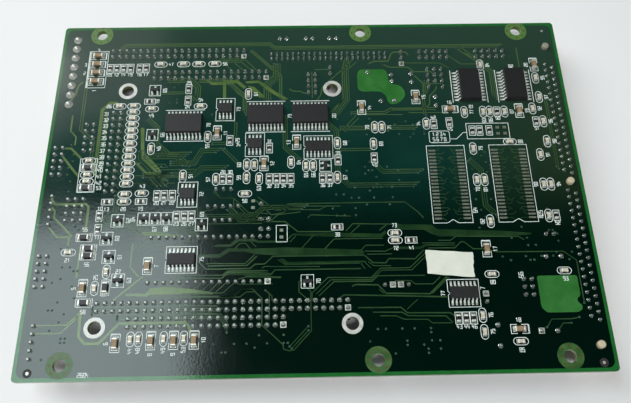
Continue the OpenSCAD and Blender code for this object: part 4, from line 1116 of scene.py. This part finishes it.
# %% Numbers beside the parts
SLIM = 1.3                     # room across a small number
taken = np.concatenate([FULL, np.array(marks)])
count, digit_lines = 0, []
for name in ("large_capacitors", "small_capacitors", "resistors", "ferrite_beads", "transistors",
             "amplifier_chips", "logic_chips", "wide_chips"):
    for low, high in solids(name):
        (x, y), (w, h) = ((low + high) / 2)[:2], (high - low)[:2] / 2
        count += 1
        if abs(x + 63.5) < 0.3 and -2 < y < 32:     # this column has its numbers at its left
            continue
        text = str(count if count < 100 else count % 100 + 10)
        along = (len(text) * 3 - 1) * 0.3 + 0.2
        # tried in this order: x and y from the middle of the part, and whether it reads upwards
        for dx, dy, up in ((0, -h - 2.1, False), (0, h + 2.1, False), (w + 2.1, 0, True),
                           (-w - 2.1, 0, True), (0, -h - 3, True), (0, h + 3, True),
                           (w + 3.2, 0, False), (-w - 3.2, 0, False)):
            half = np.array([SLIM, along] if up else [along, SLIM]) / 2 + 0.1
            spot = np.array([x + dx, y + dy])
            low_xy, high_xy = spot - half, spot + half
            hit = ((taken[:, :2] < high_xy) & (taken[:, 2:] > low_xy)).all(1).any()
            if not hit and abs(spot[0]) < HALF_W - 2 and abs(spot[1]) < HALF_L - 2:
                digit_lines += number(text, *spot, upright=up)
                taken = np.concatenate([taken, [np.r_[low_xy, high_xy]]])
                break
for text, x, y in (("64", 53.8, -11.5), ("65", 75.6, -13), ("66", 66, -34.2), ("7", 53.2, -38.4)):
    digit_lines += number(text, x, y, 1.4, True)
digit_lines += number("2604", -70.6, -63.2)
for i, x in enumerate((42.5, 43.8, 45.1, 46.4)):
    digit_lines += number(str(1 + i), x, 17.4, 1.3) + number(str(5 + i), x, 15.4, 1.3)
for i, y in enumerate((27.4, 24.9, 22.5, 20.1, 17.7, 15.2, 12.7, 10.2, 7.8, 5.3, 2.9, 0.5)):
    digit_lines += number(str(31 + i), -72.9, y, 1.3)
print("numbered parts:", count)
inked = [(run, w) for path, closed, w in lines for run in clear_runs(path, closed)]
inked += [(stroke, 0.2) for stroke in digit_lines]
build("white_printing", join(ribbon(p, w, TOP - 0.01, TOP + 0.055) for p, w in inked), PRINT)

# %% [markdown]
# ## The torn label
# A blank strip of matt paper is stuck on, one end torn. It is a sheet over two parameters: u runs
# along it, v across. The torn end is a wavy edge, the near corner lifts, and a Solidify modifier
# gives the paper its thickness.

# %% Paper label
LABEL = np.array([(36.1, -33.3), (50.9, -34.8), (51.4, -26.4), (35.9, -25.3)])   # its corners


def label(corners, steps_u=61, steps_v=33):
    """Grid of u, v mapped between four corners; the end edges wander by small sines and one
    corner curls up."""
    u, v = np.meshgrid(np.linspace(0, 1, steps_u), np.linspace(0, 1, steps_v), indexing="ij")
    shares = (1 - u) * (1 - v), u * (1 - v), u * v, (1 - u) * v
    flat = sum(share[..., None] * corner for share, corner in zip(shares, corners))
    torn = 0.10 * np.sin(9 * v + 1) + 0.06 * np.sin(23 * v) + 0.03 * np.sin(61 * v)
    flat[..., 0] += torn * u ** 6 - 0.5 * torn * (1 - u) ** 8
    flat[..., 1] += 0.05 * np.sin(14 * u) * (2 * v - 1) ** 4
    curl = 0.35 * np.clip(u - 0.8, 0, 1) ** 2 * 25 * np.clip(0.35 - v, 0, 1) ** 2 * 8
    z = TOP + 0.12 + np.maximum(curl + 0.02 * np.sin(17 * u + 3 * v), -0.02)
    quads = net(steps_u, steps_v, False, False)[:, FLIP]
    return np.concatenate([flat, z[..., None]], -1).reshape(-1, 3), [quads]


sheet = build("torn_label", label(LABEL), PAPER, ["paper_label"])
thick = sheet.modifiers.new("paper", "SOLIDIFY")
thick.thickness, thick.offset = 0.1 * MM, -1

# %% [markdown]
# ## The packages underneath
# Seen from below, the two big square packages are a moulded block on a thin green plate that
# stands on rows of solder balls. Only the outer rows can be seen, so only those are made.

# %% Area-array packages
BALL_PITCH, MARGIN = 1.27, 1.2           # mm between balls, and from the outer balls to the edge
OUTER = 2.0                              # balls nearer than this to the outermost ones are made
INSET, SLOPE, CHIP_CORNER = 2.0, 0.25, 2 # the block on its plate: inset, draft, cut corner
BALLS_END, PLATE_END, BLOCK_END = UNDER - 0.5, UNDER - 1.1, UNDER - 2.3


def block_outline(m, x, y):
    """A square of half side m about x, y with one corner cut off, to show where pin 1 is."""
    c = CHIP_CORNER
    return np.array([(-m, -m), (m, -m), (m, m), (c - m, m), (-m, m - c)]) + (x, y)


plates, blocks, balls = [], [], []
for low, high in (solids(name)[0] for name in ("processor", "chipset")):
    x, y = ((low + high) / 2)[:2]
    half = (high[0] - low[0]) / 2
    plates.append(plate(rectangle(x, y, half, half), PLATE_END, BALLS_END))
    points, faces = plate(block_outline(half - INSET, x, y), BLOCK_END, PLATE_END)
    points[:5, :2] = block_outline(half - INSET - SLOPE, x, y)
    blocks.append((points, faces))
    n = int((2 * half - 2 * MARGIN) / BALL_PITCH)
    grid = (np.arange(n) - (n - 1) / 2) * BALL_PITCH
    gx, gy = np.meshgrid(grid, grid)
    outer = np.maximum(abs(gx), abs(gy)) > grid[-1] - OUTER
    r, z = np.array([0.22, 0.34, 0.4, 0.36, 0.26]), np.array([-0.5, -0.44, -0.3, -0.14, 0.0])
    ball = turned(np.c_[r, z + UNDER], 8)
    balls.append(spread(ball, np.c_[gx[outer] + x, gy[outer] + y]))
build("package_plates", join(plates), SUBSTRATE, ["processor", "chipset"])
build("package_blocks", join(blocks), MOULD)
build("package_balls", join(balls), SOLDER, smooth=True)

# %% [markdown]
# The face below has the same lacquer and ink: a printed frame round each connector, a few buses
# and every second via. It is in shade and mostly covered, so fewer tracks than above are enough.

# %% Print and tracks underneath
# parts with a printed frame, and how far (mm) it stands off
FRAMED = {"hard_drive_shroud": 0.5, "floppy_shroud": 0.5, "port_shroud": 0.5,
          "fine_drive_insulator": 0.4, "bus_socket_64": 0.4, "bus_socket_40": 0.4,
          "flash_socket": 0.5, "power_header": 0.4, "processor": 0.8, "chipset": 0.8,
          "header_insulators": 0.4, "clock_crystals": 0.5}
frames = []
for name, gap in FRAMED.items():
    for low, high in solids(name):
        (x, y), half = ((low + high) / 2)[:2], (high - low)[:2] / 2 + gap
        if abs(x) + half[0] < HALF_W - 0.4:
            frames.append(ribbon(rectangle(x, y, *half), 0.2, UNDER - 0.05, UNDER + 0.01, True))
build("white_printing_under", join(frames), PRINT)

# columns: lanes, mm between them, path; every track is 0.32 mm wide
UNDER_RUNS = ["8 0.8 6,-18 0,-18 -6,-24 -12,-24", "10 0.9 42,2 48,2",
              "9 0.85 24,14 24,22 18,28 18,44", "7 0.9 75.8,6 80,10 80,34",
              "8 0.8 20,-22 20,-32 10,-38.6", "6 0.9 -60,6 -44,6 -36,14 -36,36",
              "5 0.9 -62,20 -50,20 -44,26 -44,36", "6 0.85 46,-14 46,-30 40,-36 14,-36"]
strips = [ribbon(beside(path, (k - (n - 1) / 2) * pitch), 0.32, UNDER - 0.03, UNDER + 0.02)
          for (n, pitch), path in map(read, UNDER_RUNS) for k in range(int(n))]
build("tracks_under", join(strips), TRACK)
low_bodies = footprints(*FRAMED, "memory_socket", "buzzer", "electrolytic_cans", "edge_leds")
low_vias = via_spots[::2]
low_vias = low_vias[~inside(low_vias, low_bodies, 0.6)]
ring = turned([(0.3, UNDER - 0.045), (0.43, UNDER - 0.04), (0.44, UNDER + 0.02)], 8)
build("via_rings_under", spread(ring, low_vias), VIA, smooth=True)
hole_rings("hole_rings_under", UNDER - 0.04, UNDER + 0.02)

# %% [markdown]
# ## Floor, light and camera
# The board lies on its tall connectors on a plain pale table. The room is bright low down and dark
# overhead, so the lacquer keeps its deep green from above. One soft panel hangs above on the left,
# and its mirror image is the pale sheen on the near left of the board. A large window at the back
# left throws the soft shadow forward, and the front of the room fills it.

# %% Stage
from mathutils import Vector

REACH = 3                      # metres from the board to each edge of the table
mesh = bpy.data.meshes.new("floor")
corners = np.c_[rectangle(0, 0, REACH, REACH), np.zeros(4)]
mesh.from_pydata(corners.tolist(), [], [(0, 1, 2, 3)])
mesh.materials.append(finish("pale_table", (234, 234, 235), (238, 238, 238), 90, (0.75, 0.9), 0.0,
                             0.1, 1.2))
placed("floor", mesh)


def lamp(name, at, aim, wide, high, power, tint=(1, 1, 1)):
    """A rectangular area lamp at a place in metres that looks at the aim, or straight down."""
    data = bpy.data.lights.new(name, "AREA")
    data.shape, data.size, data.size_y, data.energy = "RECTANGLE", wide, high, power
    data.color = tint
    made = placed(name, data)
    made.location = at
    if aim:
        made.rotation_euler = (Vector(aim) - Vector(at)).to_track_quat("-Z", "Y").to_euler()
    return made


BOARD_MIDDLE = (0, 0, 0.01)
panel = lamp("panel", (-0.404, 0.17, 1.0), None, 0.372, 0.42, 3.0, (0.83, 0.99, 1))
panel.rotation_euler = (0, 0, math.radians(3))
lamp("glow", (-0.46, 0.75, 1.0), None, 0.3, 0.3, 0.26)
lamp("window", (-1.1, 0.72, 0.95), BOARD_MIDDLE, 0.9, 0.9, 12.8)
lamp("room_front", (0.12, -0.62, 1.28), BOARD_MIDDLE, 0.5, 0.3, 10.6)

world = bpy.data.worlds.new("room")
bpy.context.scene.world = world
world.use_nodes = True
tree = world.node_tree
where = add_node(tree, "TexCoord", {}).outputs["Generated"]
height = add_node(tree, "SeparateXYZ", {0: where}).outputs["Z"]
room = tree.nodes["Background"].inputs
room["Color"].default_value = (0.98, 0.99, 1.0, 1)
tree.links.new(slide(tree, height, 0.0, 0.85, 0.36, 0.0), room["Strength"])

camera = placed("camera", bpy.data.cameras.new("camera"))
camera.data.lens, camera.data.sensor_width, camera.data.sensor_fit = 37.334, 36, "HORIZONTAL"
camera.data.clip_start = 0.01
camera.location = (-0.002638, -0.093518, 0.214709)
camera.rotation_euler = tuple(math.radians(a) for a in (23.0565, -0.4172, -1.1264))
bpy.context.scene.camera = camera
bpy.context.scene.view_settings.view_transform = "Standard"
